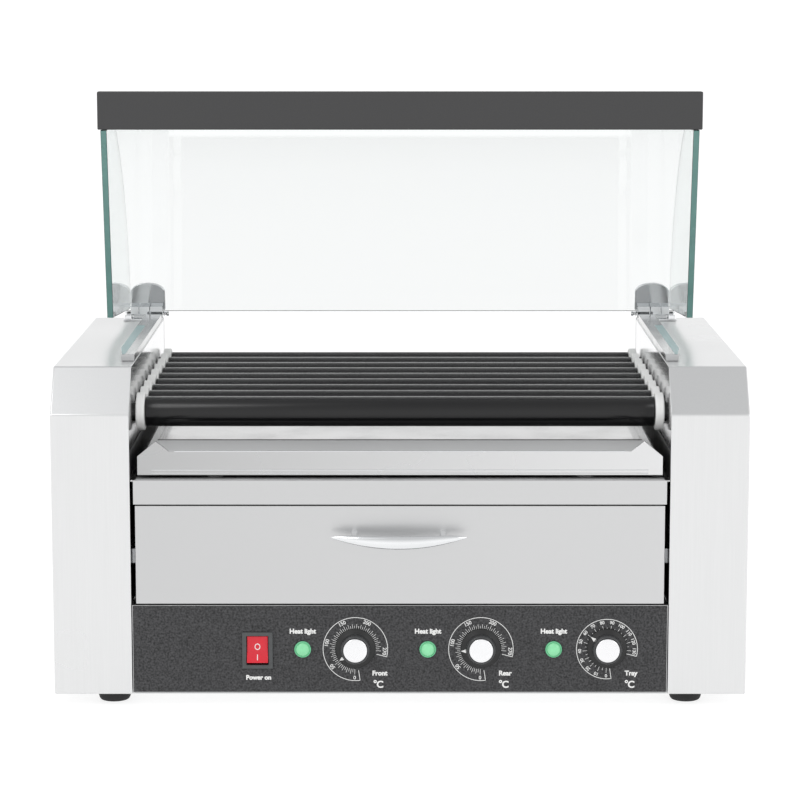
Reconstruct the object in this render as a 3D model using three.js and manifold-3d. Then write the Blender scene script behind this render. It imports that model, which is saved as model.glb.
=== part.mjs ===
// Hot dog roller grill: two sheet-metal side boxes carry nine driven rollers, a drip tray,
// a bun-warming drawer, a control panel and a bent-glass hood hinged at the rear.
// Millimetres, +Z up, X across, the front faces -Y. Inside the machine group y is the depth
// behind the front face and z the height above the underside of the boxes.
import * as THREE from 'three';
import { mergeVertices } from 'three/addons/utils/BufferGeometryUtils.js';
import Module from 'manifold-3d';

// ---- driving dimensions ----
const WIDTH = 580;             // over the two side boxes
const SIDE_W = 65.3;           // one side box
const BODY_D = 366.5;
const BODY_H = 273.9;
const FOOT_H = 10;
const CHAMFER_RUN = 30;        // sloped upper front edge of a side box
const CHAMFER_DROP = 36.8;
const SHEET = 1.2;
const GAP = 0.3;               // between pieces that touch
const INNER = WIDTH / 2 - SIDE_W;
const BAY = INNER - GAP;       // half width of what fits between the side boxes

const ROLLERS = 9;
const ROLLER_PITCH = 35;
const ROLLER_R = 12.7;
const ROLLER_HALF = 215;
const TUBE_BORE_R = 11;
const BED_Y = 53;              // axis of the front roller
const BED_Z = 232.4;
const JOURNAL_R = 8;
const JOURNAL_BORE_R = 5.5;
const SEAL_R = 16;
const SEAL_W = 7.5;

const SPROCKET_TEETH = 12;
const SPROCKET_R = 13.5;       // over the tooth tips
const SPROCKET_ROOT_R = 11.2;
const SPROCKET_W = 4;
const DRIVE_X = -240;          // plane of the sprockets and the chain, in the left box
const CHAIN_T = 3.6;
const CHAIN_W = 6;
const CHAIN_CLEARANCE = 0.7;
const MOTOR_Y = 193;
const MOTOR_Z = 120;

const SHELF_Z = 74.5;          // partition over the electrical bay
const PANEL_Z0 = 1.7;
const PANEL_Z1 = 76.5;
const DIAL_X = [-37.4, 67.8, 173.4];
const DIAL_Z = 40;
const KNOB_REACH = 11.8;       // how far a knob stands out of the panel
const LAMP_X = [-81.5, 23.3, 128.7];
const LAMP_Z = 39;
const SWITCH_X = -119.4;
const SWITCH_Z = 38.1;
const ROCKER_REST_DEG = 8;     // the rocker leans this far either side of the panel
const ROCKER_PIVOT_Y = 4;

const DRAWER_Z0 = 77.5;
const DRAWER_Z1 = 161;
const DRAWER_HALF = 220.7;
const DRAWER_BOX_HALF = 214;
const DRAWER_LEN = 330;
const HANDLE_X = -1;
const HANDLE_TOP_Z = 140;      // its straight upper edge
const HANDLE_HALF = 56.5;
const HANDLE_R = 5.7;
const HANDLE_FLAT = 0.8;       // its depth as a share of its height
const HANDLE_POST_X = 37;
const HANDLE_REACH = 28;

const DECK_Z = 182.5;          // top of the plate that the drip tray slides on
const RAIL_Z0 = 162;
const TRAY_HALF = 218.6;
const TRAY_Z = 186;            // underside of the drip tray
const TRAY_WALL_Z = 200;
const EAR_X = 203;             // peaks of the two ears of its front plate
const EAR_Z = 214.5;
const LIP_X = 192;
const LIP_Z = 206;             // fold between the plate and its lip
const LIP_END_Y = 25;

const HINGE_Y = 372;           // axis of the hood
const HINGE_Z = 277;
const KNUCKLE_R = 3.6;
const HINGE_X0 = 223.3;        // inner and outer edges of a hinge leaf
const HINGE_X1 = 255.2;
const LEAF_T = 2.2;
const LEAF_MID_Z = 296;
const KNUCKLE_X0 = 230;
const KNUCKLE_X1 = 254;
const PIN_R = 1.9;
const PIN_X0 = 220.5;
const PIN_X1 = 262.3;
const HINGE_RAIL_W = 15.7;     // flat rail on the box top, in front of the hinge
const HINGE_RAIL_T = 5.7;
const HINGE_RAIL_Y0 = 62;
const HINGE_RAIL_Y1 = 341;
const GLASS = 5;
const HOOD_R = 264.2;          // outer radius of the bent pane
const HOOD_LEAN = 9 * Math.PI / 180;
const HOOD_FOOT = { y: 366, z: 281 };
const PANE_OUT = 261;          // outer faces of the two flat side panes
const PANE_T = 5.4;
const BAR_HALF = 263.5;
const BAR_Y0 = 157;
const BAR_Y1 = 168.7;
const BAR_Z0 = 464;
const BAR_Z1 = 497;

// The assembly's box is centred on the origin front to back.
const FRONT_Y = -(HINGE_Y + KNUCKLE_R - HANDLE_REACH) / 2;

const wasm = await Module();
wasm.setup();

// ---- materials ----
const finishes = {
  brushed_steel: { color: 0xd2d3d4, roughness: 0.35, metalness: 0.9 },
  polished_steel: { color: 0xdcdddd, roughness: 0.12, metalness: 1 },
  chrome: { color: 0xe4e6e8, roughness: 0.06, metalness: 1 },
  zinc: { color: 0xa9adb0, roughness: 0.45, metalness: 0.8 },
  bronze: { color: 0xa07a45, roughness: 0.4, metalness: 0.9 },
  roller_black: { color: 0x1c1d1e, roughness: 0.4, metalness: 0.1 },
  ptfe: { color: 0xe9eae8, roughness: 0.5, metalness: 0 },
  glass: { color: 0xcfe5de, roughness: 0.03, metalness: 0, transparent: true, opacity: 0.35 },
  trim_grey: { color: 0x58595b, roughness: 0.5, metalness: 0.1 },
  overlay: { color: 0x3b3c3e, roughness: 0.6, metalness: 0 },
  black_plastic: { color: 0x141415, roughness: 0.4, metalness: 0 },
  red_plastic: { color: 0xc81f31, roughness: 0.25, metalness: 0 },
  lamp_green: { color: 0x4fd08a, roughness: 0.2, metalness: 0 },
  rubber: { color: 0x19191a, roughness: 0.85, metalness: 0 },
};

const finish = (name) => new THREE.MeshStandardMaterial({ ...finishes[name] });

// ---- shapes ----
const machine = new THREE.Group();
machine.position.set(0, FRONT_Y, FOOT_H);

function add(name, geometry, material) {
  const mesh = new THREE.Mesh(geometry, finish(material));
  mesh.name = name;
  machine.add(mesh);
  return mesh;
}

function box(x0, x1, y0, y1, z0, z1) {
  const geometry = new THREE.BoxGeometry(x1 - x0, y1 - y0, z1 - z0);
  return geometry.translate((x0 + x1) / 2, (y0 + y1) / 2, (z0 + z1) / 2);
}

function polygon(points) {
  return new THREE.Shape(points.map(([a, b]) => new THREE.Vector2(a, b)));
}

function extrude(shape, depth, curveSegments = 12) {
  return new THREE.ExtrudeGeometry(shape, { depth, bevelEnabled: false, curveSegments });
}

// A (y, z) outline drawn out along X from x0 to x1.
function alongX(shape, x0, x1, curveSegments) {
  const turn = new THREE.Matrix4().makeBasis(
    new THREE.Vector3(0, 1, 0), new THREE.Vector3(0, 0, 1), new THREE.Vector3(1, 0, 0));
  return extrude(shape, x1 - x0, curveSegments).applyMatrix4(turn).translate(x0, 0, 0);
}

// An (x, z) outline drawn out along Y from y0 to y1.
function alongY(shape, y0, y1, curveSegments) {
  return extrude(shape, y1 - y0, curveSegments).rotateX(Math.PI / 2).translate(0, y1, 0);
}

// A closed profile of [distance along the axis, radius] points, turned about the X, Y or Z axis.
function turned(profile, sides, axis) {
  const points = profile.map(([along, radius]) => new THREE.Vector2(radius, along));
  const closed = points[0].x > 0 || points.at(-1).x > 0;
  const ring = THREE.ShapeUtils.area(points) < 0 ? points.reverse() : points;
  if (closed) ring.push(ring[0].clone());
  const geometry = new THREE.LatheGeometry(ring, sides);
  if (axis === 'X') geometry.rotateZ(-Math.PI / 2);
  if (axis === 'Z') geometry.rotateX(Math.PI / 2);
  return geometry;
}

function cylinder(radius, from, to, sides, axis) {
  return turned([[from, 0], [from, radius], [to, radius], [to, 0]], sides, axis);
}

function ringHole(shape, a, b, radius) {
  const hole = new THREE.Path();
  hole.absarc(a, b, radius, 0, 2 * Math.PI, true);
  shape.holes.push(hole);
}

function rectHole(shape, a0, a1, b0, b1) {
  const hole = new THREE.Path([[a0, b0], [a0, b1], [a1, b1], [a1, b0]]
    .map(([a, b]) => new THREE.Vector2(a, b)));
  shape.holes.push(hole);
}

// ---- joining and cutting ----
function toSolid(geometry) {
  const bare = new THREE.BufferGeometry();
  bare.setAttribute('position', geometry.getAttribute('position').clone());
  if (geometry.index) bare.setIndex(geometry.index.clone());
  const merged = mergeVertices(bare, 1e-4);
  const corners = merged.index.array;
  const kept = [];
  for (let i = 0; i < corners.length; i += 3) {
    const [a, b, c] = [corners[i], corners[i + 1], corners[i + 2]];
    if (a !== b && b !== c && c !== a) kept.push(a, b, c);
  }
  const vertProperties = new Float32Array(merged.getAttribute('position').array);
  const mesh = new wasm.Mesh({ numProp: 3, vertProperties, triVerts: new Uint32Array(kept) });
  return new wasm.Manifold(mesh);
}

function toGeometry(solid) {
  const mesh = solid.getMesh();
  const geometry = new THREE.BufferGeometry();
  geometry.setAttribute('position', new THREE.BufferAttribute(mesh.vertProperties.slice(), 3));
  geometry.setIndex(new THREE.BufferAttribute(mesh.triVerts.slice(), 1));
  geometry.computeVertexNormals();
  return geometry;
}

function join(...geometries) {
  return toGeometry(geometries.map(toSolid).reduce((a, b) => a.add(b)));
}

function cut(geometry, ...tools) {
  return toGeometry(tools.map(toSolid).reduce((a, b) => a.subtract(b), toSolid(geometry)));
}

const SIDES = [['left', -1], ['right', 1]];

// X range of a piece on one side: the same distances from the middle, on the left or right.
const span = (sign, near, far) => (sign < 0 ? [-far, -near] : [near, far]);

// ---- housing ----
// Side outline of a box, shrunk by inset all round.
function boxOutline(inset) {
  const slope = Math.hypot(CHAMFER_RUN, CHAMFER_DROP);
  const topY = CHAMFER_RUN + inset * (slope - CHAMFER_RUN) / CHAMFER_DROP;
  const frontZ = BODY_H - CHAMFER_DROP - inset * (slope - CHAMFER_DROP) / CHAMFER_RUN;
  return polygon([[inset, inset], [BODY_D - inset, inset], [BODY_D - inset, BODY_H - inset],
    [topY, BODY_H - inset], [inset, frontZ]]);
}

const rollerY = (i) => BED_Y + i * ROLLER_PITCH;

function rollerHoles(shape, radius) {
  for (let i = 0; i < ROLLERS; i += 1) ringHole(shape, rollerY(i), BED_Z, radius);
}

function addSideBoxes() {
  for (const [side, sign] of SIDES) {
    const outer = alongX(boxOutline(0), ...span(sign, INNER, WIDTH / 2));
    const hollow = alongX(boxOutline(SHEET), ...span(sign, INNER - 1, WIDTH / 2 - SHEET));
    add(`${side}_side_box`, cut(outer, hollow), 'brushed_steel');
    const liner = boxOutline(SHEET + GAP);
    rollerHoles(liner, JOURNAL_R + SHEET);
    const [x0, x1] = span(sign, INNER + 0.2, INNER + 0.2 + SHEET);
    add(`${side}_inner_panel`, alongX(liner, x0, x1, 5), 'polished_steel');
  }
}

function addBase() {
  const flangeH = 20;
  const channel = box(-BAY, BAY, 1.8, BODY_D - 2.2, 0, flangeH);
  const trough = box(-BAY + SHEET, BAY - SHEET, 0, BODY_D, SHEET, flangeH + 1);
  add('base_pan', cut(channel, trough), 'brushed_steel');
  add('drawer_shelf', box(-BAY, BAY, 1.8, BODY_D - 2.2, SHELF_Z, SHELF_Z + SHEET), 'zinc');
  const deck = box(-BAY, BAY, 0.5, BODY_D - 2.2, DECK_Z - SHEET, DECK_Z);
  const rail = box(-222, 222, 0, 1.5, RAIL_Z0, DECK_Z);
  add('tray_deck', join(deck, rail), 'brushed_steel');
}

const REAR_TOP = 195;          // the back is open above this, behind the rollers
const REAR_SPLIT = 97;         // joint between the louvred panel and the service panel
const INLET_X = 130;
const INLET_Z = 36;
const INLET_W = 27;            // body of the power inlet
const INLET_H = 19;
const LOUVRE_X = [-150, -75, 0];

function addRearPanel() {
  const y0 = BODY_D - 1.7;
  const y1 = BODY_D - 0.5;
  const slot = { w: 44, h: 4, pitch: 10, rows: 4, z0: 20 };
  const slots = [];
  for (const x of LOUVRE_X) {
    for (let row = 0; row < slot.rows; row += 1) {
      const z = slot.z0 + row * slot.pitch;
      slots.push(box(x - slot.w / 2, x + slot.w / 2, y0 - 1, y1 + 1, z, z + slot.h));
    }
  }
  const louvred = box(-BAY, REAR_SPLIT, y0, y1, 1.5, REAR_TOP);
  add('rear_panel', cut(louvred, ...slots), 'brushed_steel');
  const service = box(REAR_SPLIT + GAP, BAY, y0, y1, 1.5, REAR_TOP);
  const hole = box(INLET_X - INLET_W / 2 - GAP, INLET_X + INLET_W / 2 + GAP, y0 - 1, y1 + 1,
    INLET_Z - INLET_H / 2 - GAP, INLET_Z + INLET_H / 2 + GAP);
  add('service_panel', cut(service, hole), 'brushed_steel');
  const body = box(INLET_X - INLET_W / 2, INLET_X + INLET_W / 2, BODY_D - 26, BODY_D + 1,
    INLET_Z - INLET_H / 2, INLET_Z + INLET_H / 2);
  const flange = box(INLET_X - 25, INLET_X + 25, BODY_D - 0.2, BODY_D + 2,
    INLET_Z - 14, INLET_Z + 14);
  const socket = box(INLET_X - 11.5, INLET_X + 11.5, BODY_D - 17, BODY_D + 3,
    INLET_Z - 7.5, INLET_Z + 7.5);
  add('power_inlet', cut(join(body, flange), socket), 'black_plastic');
}

function addFeet() {
  const profile = [[-FOOT_H, 0], [-FOOT_H, 11.5], [-FOOT_H + 1.5, 13], [-3, 14], [-0.2, 14], [-0.2, 0]];
  for (const [side, sign] of SIDES) {
    for (const [end, y] of [['front', 25], ['rear', BODY_D - 28]]) {
      const foot = turned(profile, 16, 'Z').translate(sign * 242, y, 0);
      add(`${end}_${side}_foot`, foot, 'rubber');
    }
  }
}

// ---- roller bed ----
function sprocketShape(boreR) {
  const points = [];
  for (let i = 0; i < 2 * SPROCKET_TEETH; i += 1) {
    const radius = i % 2 ? SPROCKET_ROOT_R : SPROCKET_R;
    const angle = i * Math.PI / SPROCKET_TEETH;
    points.push([radius * Math.cos(angle), radius * Math.sin(angle)]);
  }
  const shape = polygon(points);
  if (boreR) ringHole(shape, 0, 0, boreR);
  return shape;
}

const sprocket = (boreR) => alongX(sprocketShape(boreR),
  DRIVE_X - SPROCKET_W / 2, DRIVE_X + SPROCKET_W / 2, 4);

// One roller: a hollow tube with a necked journal at each end, and its sprocket on the left.
function rollerGeometry() {
  const left = DRIVE_X - 6;
  const right = INNER + 11.3;
  const inside = ROLLER_HALF - 10;
  const tube = turned([[left, JOURNAL_BORE_R], [left, JOURNAL_R], [-ROLLER_HALF, JOURNAL_R],
    [-ROLLER_HALF, ROLLER_R], [ROLLER_HALF, ROLLER_R], [ROLLER_HALF, JOURNAL_R],
    [right, JOURNAL_R], [right, JOURNAL_BORE_R], [inside, JOURNAL_BORE_R],
    [inside, TUBE_BORE_R], [-inside, TUBE_BORE_R], [-inside, JOURNAL_BORE_R]], 16, 'X');
  return join(tube, sprocket(JOURNAL_R - 0.6));
}

function addRollers() {
  for (let i = 0; i < ROLLERS; i += 1) {
    add(`roller_${i + 1}`, rollerGeometry().translate(0, rollerY(i), BED_Z), 'roller_black');
  }
}

// Outline of the end seals: round lobes in a row, joined by short necks.
function sealShape() {
  const neck = Math.asin(3 / SEAL_R);
  const shape = new THREE.Shape();
  for (let i = 0; i < ROLLERS; i += 1) {
    shape.absarc(rollerY(i), BED_Z, SEAL_R, Math.PI + neck, 2 * Math.PI - neck, false);
  }
  for (let i = ROLLERS - 1; i >= 0; i -= 1) {
    shape.absarc(rollerY(i), BED_Z, SEAL_R, neck, Math.PI - neck, false);
  }
  rollerHoles(shape, JOURNAL_R + 1);
  return shape;
}

// White end seals in a row, and the bearing bar behind the liner.
function addSealsAndBearings() {
  const lastY = rollerY(ROLLERS - 1);
  for (const [side, sign] of SIDES) {
    const [x0, x1] = span(sign, ROLLER_HALF + GAP, ROLLER_HALF + GAP + SEAL_W);
    add(`${side}_seal_strip`, alongX(sealShape(), x0, x1, 4), 'ptfe');
    const bar = polygon([[BED_Y - 18, BED_Z - 11], [lastY + 18, BED_Z - 11],
      [lastY + 18, BED_Z + 11], [BED_Y - 18, BED_Z + 11]]);
    rollerHoles(bar, JOURNAL_R + 0.5);
    const [b0, b1] = span(sign, INNER + 1.8, INNER + 6.8);
    add(`${side}_bearing_bar`, alongX(bar, b0, b1, 5), 'bronze');
  }
}

// Heating rods, one through each roller, ending in a bus bar inside each side box.
function addHeaterBank() {
  const end = 263;
  const rods = [];
  for (let i = 0; i < ROLLERS; i += 1) {
    rods.push(cylinder(3.2, -end, end, 8, 'X').translate(0, rollerY(i), BED_Z));
  }
  const bars = SIDES.map(([, sign]) => {
    const [x0, x1] = span(sign, end - 1, end + 2);
    return box(x0, x1, BED_Y - 4, rollerY(ROLLERS - 1) + 4, BED_Z - 4, BED_Z + 4);
  });
  add('heater_bank', join(...rods, ...bars), 'zinc');
}

// ---- drive in the left box ----
// Outline at a radius around the triangle of the front roller, rear roller and motor sprocket.
function chainPath(target, radius) {
  const centres = [[MOTOR_Y, MOTOR_Z], [rollerY(ROLLERS - 1), BED_Z], [BED_Y, BED_Z]];
  centres.forEach(([y, z], i) => {
    const [py, pz] = centres[(i + 2) % 3];
    const [ny, nz] = centres[(i + 1) % 3];
    const start = Math.atan2(z - pz, y - py) - Math.PI / 2;
    const end = Math.atan2(nz - z, ny - y) - Math.PI / 2;
    target.absarc(y, z, radius, start, end, false);
  });
  return target;
}

function addDrive() {
  const inside = SPROCKET_R + CHAIN_CLEARANCE;
  const band = chainPath(new THREE.Shape(), inside + CHAIN_T);
  band.holes.push(chainPath(new THREE.Path(), inside));
  add('drive_chain', alongX(band, DRIVE_X - CHAIN_W / 2, DRIVE_X + CHAIN_W / 2, 5), 'zinc');

  const at = (geometry) => geometry.translate(0, MOTOR_Y, MOTOR_Z);
  const can = at(cylinder(30, -WIDTH / 2 + 1.7, -262, 20, 'X'));
  const gearbox = box(-263, -248, MOTOR_Y - 30, MOTOR_Y + 30, MOTOR_Z - 24, MOTOR_Z + 24);
  const boss = at(cylinder(9, -249, -245.5, 16, 'X'));
  const bore = at(cylinder(4.5, -260, -245, 12, 'X'));
  add('gear_motor', cut(join(can, gearbox, boss), bore), 'zinc');
  const shaft = cylinder(4, -258, DRIVE_X + 4, 12, 'X');
  add('motor_sprocket', at(join(shaft, sprocket(0))), 'zinc');
}

// ---- control panel ----
const THREAD_R = 5;            // neck of a thermostat
const LAMP_NECK_R = 5.4;
const SWITCH_W = 21;           // switch body behind its bezel
const SWITCH_H = 27;

function panelShape(margin) {
  const half = 224 - margin;
  const shape = polygon([[-half, PANEL_Z0 + margin], [half, PANEL_Z0 + margin],
    [half, PANEL_Z1 - margin], [-half, PANEL_Z1 - margin]]);
  for (const x of DIAL_X) ringHole(shape, x, DIAL_Z, THREAD_R + GAP);
  for (const x of LAMP_X) ringHole(shape, x, LAMP_Z, LAMP_NECK_R + GAP);
  rectHole(shape, SWITCH_X - SWITCH_W / 2 - GAP, SWITCH_X + SWITCH_W / 2 + GAP,
    SWITCH_Z - SWITCH_H / 2 - GAP, SWITCH_Z + SWITCH_H / 2 + GAP);
  return shape;
}

function thermostat(x) {
  const shell = box(-18, 18, 3, 26, -18, 18);
  const neck = cylinder(THREAD_R, -0.4, 4, 12, 'Y');
  const bore = cylinder(3.4, -1, 14, 12, 'Y');
  return cut(join(shell, neck), bore).translate(x, 0, DIAL_Z);
}

function knob(x) {
  const profile = [[12, 0], [12, 3], [-1, 3], [-1, 17.5], [-3.4, 17.5], [-5, 13.2],
    [2.3 - KNOB_REACH, 12.5], [1.2 - KNOB_REACH, 11.4], [1.2 - KNOB_REACH, 10],
    [0.2 - KNOB_REACH, 9.2], [-KNOB_REACH, 0]];
  return turned(profile, 18, 'Y').translate(x, 0, DIAL_Z);
}

function pilotLamp(x) {
  const profile = [[22, 0], [22, 6.4], [1.8, 6.4], [1.8, LAMP_NECK_R], [-0.9, LAMP_NECK_R],
    [-0.9, 7], [-2.2, 7], [-3.6, 5.6], [-4.6, 3], [-4.9, 0]];
  return turned(profile, 14, 'Y').translate(x, 0, LAMP_Z);
}

function addSwitch() {
  const bezel = box(-12.85, 12.85, -2.4, -0.9, -15.6, 15.6);
  const body = box(-SWITCH_W / 2, SWITCH_W / 2, -1, 24, -SWITCH_H / 2, SWITCH_H / 2);
  const pocket = box(-9.2, 9.2, -3, 10.5, -12.3, 12.3);
  const shell = cut(join(bezel, body), pocket).translate(SWITCH_X, 0, SWITCH_Z);
  add('switch_body', shell, 'black_plastic');
  const side = polygon([[6, -3], [6, 3], [2.5, 11.2], [-2.9, 11.2], [-1, 0], [-2.9, -11.2],
    [2.5, -11.2]].map(([y, z]) => [y - ROCKER_PIVOT_Y, z]));
  const rocker = alongX(side, -8.85, 8.85).rotateX(-ROCKER_REST_DEG * Math.PI / 180);
  rocker.translate(SWITCH_X, ROCKER_PIVOT_Y, SWITCH_Z);
  add('switch_rocker', rocker, 'red_plastic');
}

function addControls() {
  add('control_panel', alongY(panelShape(0), 0, 1.5, 6), 'brushed_steel');
  add('panel_overlay', alongY(panelShape(0.5), -0.7, -0.2, 6), 'overlay');
  DIAL_X.forEach((x, i) => {
    add(`thermostat_${i + 1}`, thermostat(x), 'zinc');
    add(`knob_${i + 1}`, knob(x), 'black_plastic');
  });
  LAMP_X.forEach((x, i) => add(`pilot_lamp_${i + 1}`, pilotLamp(x), 'lamp_green'));
  addSwitch();
}

// ---- bun drawer ----
const RUNNER_Z0 = 110;
const RUNNER_Z1 = 122;

// Lens-shaped bow: a spindle drawn forward in the middle, with a straight upper edge.
function handleGeometry() {
  const thickness = (t) => HANDLE_R * Math.pow(Math.max(0, 1 - t * t), 0.7);
  const profile = [];
  const steps = 10;
  for (let i = 0; i <= steps; i += 1) {
    const t = -1 + 2 * i / steps;
    profile.push([t * HANDLE_HALF, thickness(t)]);
  }
  const bow = turned(profile, 12, 'X');
  const position = bow.getAttribute('position');
  const tipY = -17;
  const crestY = -HANDLE_REACH + HANDLE_R * HANDLE_FLAT;
  for (let i = 0; i < position.count; i += 1) {
    const t = position.getX(i) / HANDLE_HALF;
    const bowY = tipY + (crestY - tipY) * (1 - t * t);
    position.setY(i, position.getY(i) * HANDLE_FLAT + bowY);
    position.setZ(i, position.getZ(i) - thickness(t));
  }
  const posts = [-1, 1].map((s) =>
    cylinder(2.6, -22, -0.2, 12, 'Y').translate(s * HANDLE_POST_X, 0, -2.6));
  return join(bow, ...posts).translate(HANDLE_X, 0, HANDLE_TOP_Z);
}

function addDrawer() {
  const fold = 12;
  const face = box(-DRAWER_HALF, DRAWER_HALF, 0, fold, DRAWER_Z0, DRAWER_Z1);
  const back = box(-DRAWER_HALF + SHEET, DRAWER_HALF - SHEET, SHEET, fold + 1,
    DRAWER_Z0 + SHEET, DRAWER_Z1 - SHEET);
  add('drawer_front', cut(face, back), 'brushed_steel');

  const y0 = SHEET + 0.2;
  const z0 = 82;
  const z1 = 150;
  const half = DRAWER_BOX_HALF;
  const tub = box(-half, half, y0, y0 + DRAWER_LEN, z0, z1);
  const inside = box(-half + SHEET, half - SHEET, y0 + SHEET, y0 + DRAWER_LEN - SHEET,
    z0 + SHEET, z1 + 1);
  const tongues = SIDES.map(([, sign]) => {
    const [x0, x1] = span(sign, half - 0.6, half + 7.4);
    return box(x0, x1, 20, y0 + DRAWER_LEN, RUNNER_Z0 + 3.4, RUNNER_Z1 - 3.4);
  });
  add('drawer_box', join(cut(tub, inside), ...tongues), 'zinc');
  add('drawer_handle', handleGeometry(), 'chrome');

  for (const [side, sign] of SIDES) {
    const [x0, x1] = span(sign, half + 1, BAY);
    const [g0, g1] = span(sign, half, BAY - 2.4);
    const channel = box(x0, x1, 13, 352, RUNNER_Z0, RUNNER_Z1);
    const groove = box(g0, g1, 12, 353, RUNNER_Z0 + 3, RUNNER_Z1 - 3);
    add(`${side}_drawer_runner`, cut(channel, groove), 'zinc');
  }

  // Flat serpentine element under the deck, over the drawer.
  const bends = [];
  const runs = [60, 130, 200, 270];
  runs.forEach((y, i) => {
    const s = i % 2 ? -1 : 1;
    bends.push([-170 * s, y], [0, y], [170 * s, y]);
    if (i < runs.length - 1) bends.push([196 * s, y + 35]);
  });
  const path = new THREE.CatmullRomCurve3(bends.map(([x, y]) => new THREE.Vector3(x, y, 171)));
  const section = new THREE.Shape().absarc(0, 0, 3.2, 0, 2 * Math.PI, false);
  const element = new THREE.ExtrudeGeometry(section,
    { steps: 40, extrudePath: path, bevelEnabled: false, curveSegments: 3 });
  add('drawer_heater', element, 'zinc');
}

// ---- drip tray ----
// A shallow tray on two skids. Its front plate has a raised ear at each end, and between the
// ears a lip that slopes up and back.
function addDripTray() {
  const half = TRAY_HALF - 2.6;
  const y0 = 6.6;
  const y1 = 346;
  const tub = box(-half, half, y0, y1, TRAY_Z, TRAY_WALL_Z);
  const inside = box(-half + SHEET, half - SHEET, y0 + SHEET, y1 - SHEET,
    TRAY_Z + SHEET, TRAY_WALL_Z + 1);
  const face = [[TRAY_HALF, TRAY_Z], [TRAY_HALF, 201.8], [EAR_X, EAR_Z], [LIP_X, LIP_Z]];
  const mirrored = face.map(([x, z]) => [-x, z]).reverse();
  const plate = alongY(polygon([...face, ...mirrored]), 5, 6.8);
  const lip = alongX(polygon([[5.2, LIP_Z - 1.6], [LIP_END_Y, LIP_Z + 4.8],
    [LIP_END_Y, LIP_Z + 6], [5.2, LIP_Z - 0.2]]), -EAR_X, EAR_X);
  const skids = SIDES.map(([, sign]) =>
    box(...span(sign, 150, 162), 40, 330, DECK_Z + GAP, TRAY_Z + 0.5));
  add('drip_tray', join(cut(tub, inside), plate, lip, ...skids), 'brushed_steel');
}

// ---- hood ----
const HOOD_C = {
  y: HOOD_FOOT.y - HOOD_R * Math.cos(HOOD_LEAN),
  z: HOOD_FOOT.z - HOOD_R * Math.sin(HOOD_LEAN),
};
const arcAt = (radius, y) => Math.acos((y - HOOD_C.y) / radius);
const PANE_FRONT = { y: 192.6, z: 294.8 };   // lower front corner of a side pane

function addHoodGlass() {
  const end = BAR_Y1 + GAP;
  const inner = HOOD_R - GLASS;
  const bent = new THREE.Shape();
  bent.absarc(HOOD_C.y, HOOD_C.z, HOOD_R, HOOD_LEAN, arcAt(HOOD_R, end), false);
  bent.absarc(HOOD_C.y, HOOD_C.z, inner, arcAt(inner, end), HOOD_LEAN, true);
  add('hood_glass', alongX(bent, -PANE_OUT, PANE_OUT, 12), 'glass');

  const seat = inner - GAP;
  const start = HOOD_LEAN + 0.012;
  const side = new THREE.Shape();
  side.moveTo(PANE_FRONT.y, PANE_FRONT.z);
  side.lineTo(HOOD_C.y + seat * Math.cos(start), HOOD_C.z + seat * Math.sin(start));
  side.absarc(HOOD_C.y, HOOD_C.z, seat, start, arcAt(seat, end), false);
  side.lineTo(end, BAR_Z0 - GAP);
  side.lineTo(BAR_Y0 + 1, BAR_Z0 - GAP);
  side.closePath();
  for (const [name, sign] of SIDES) {
    const [x0, x1] = span(sign, PANE_OUT - PANE_T, PANE_OUT);
    add(`${name}_hood_pane`, alongX(side, x0, x1, 12), 'glass');
  }
  add('hood_trim_bar', box(-BAR_HALF, BAR_HALF, BAR_Y0, BAR_Y1, BAR_Z0, BAR_Z1), 'trim_grey');
}

// A hinge leaf: two D-shaped plates that clamp the pane, bridged under its edge to a knuckle.
function leafShape() {
  const middle = (HINGE_X0 + HINGE_X1) / 2;
  const half = (HINGE_X1 - HINGE_X0) / 2;
  const shape = new THREE.Shape();
  shape.moveTo(KNUCKLE_X0 + 1, -18.5);
  shape.lineTo(KNUCKLE_X1 - 1, -18.5);
  shape.lineTo(KNUCKLE_X1 - 1, -14);
  shape.lineTo(middle + half, -14);
  shape.lineTo(middle + half, 5);
  shape.quadraticCurveTo(middle + half * 0.8, 12.5, middle, 12.7);
  shape.quadraticCurveTo(middle - half * 0.8, 12.5, middle - half, 5);
  shape.lineTo(middle - half, -14);
  shape.lineTo(KNUCKLE_X0 + 1, -14);
  shape.closePath();
  return shape;
}

function leafGeometry() {
  const angle = Math.asin((LEAF_MID_Z - HOOD_C.z) / HOOD_R);
  const outerY = HOOD_C.y + HOOD_R * Math.cos(angle);
  const plates = [outerY + 0.4 + LEAF_T, outerY - GLASS - 0.9].map((rearY) =>
    alongY(leafShape(), -LEAF_T, 0, 6).rotateX(angle).translate(0, rearY, LEAF_MID_Z));
  const bridge = box(KNUCKLE_X0 + 1, KNUCKLE_X1 - 1, 359.4, HINGE_Y, 276.2, 279.6);
  const knuckle = cylinder(KNUCKLE_R, KNUCKLE_X0, KNUCKLE_X1, 16, 'X');
  knuckle.translate(0, HINGE_Y, HINGE_Z);
  const bore = cylinder(PIN_R + GAP, KNUCKLE_X0 - 1, KNUCKLE_X1 + 1, 12, 'X');
  bore.translate(0, HINGE_Y, HINGE_Z);
  return cut(join(...plates, bridge, knuckle), bore);
}

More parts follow.
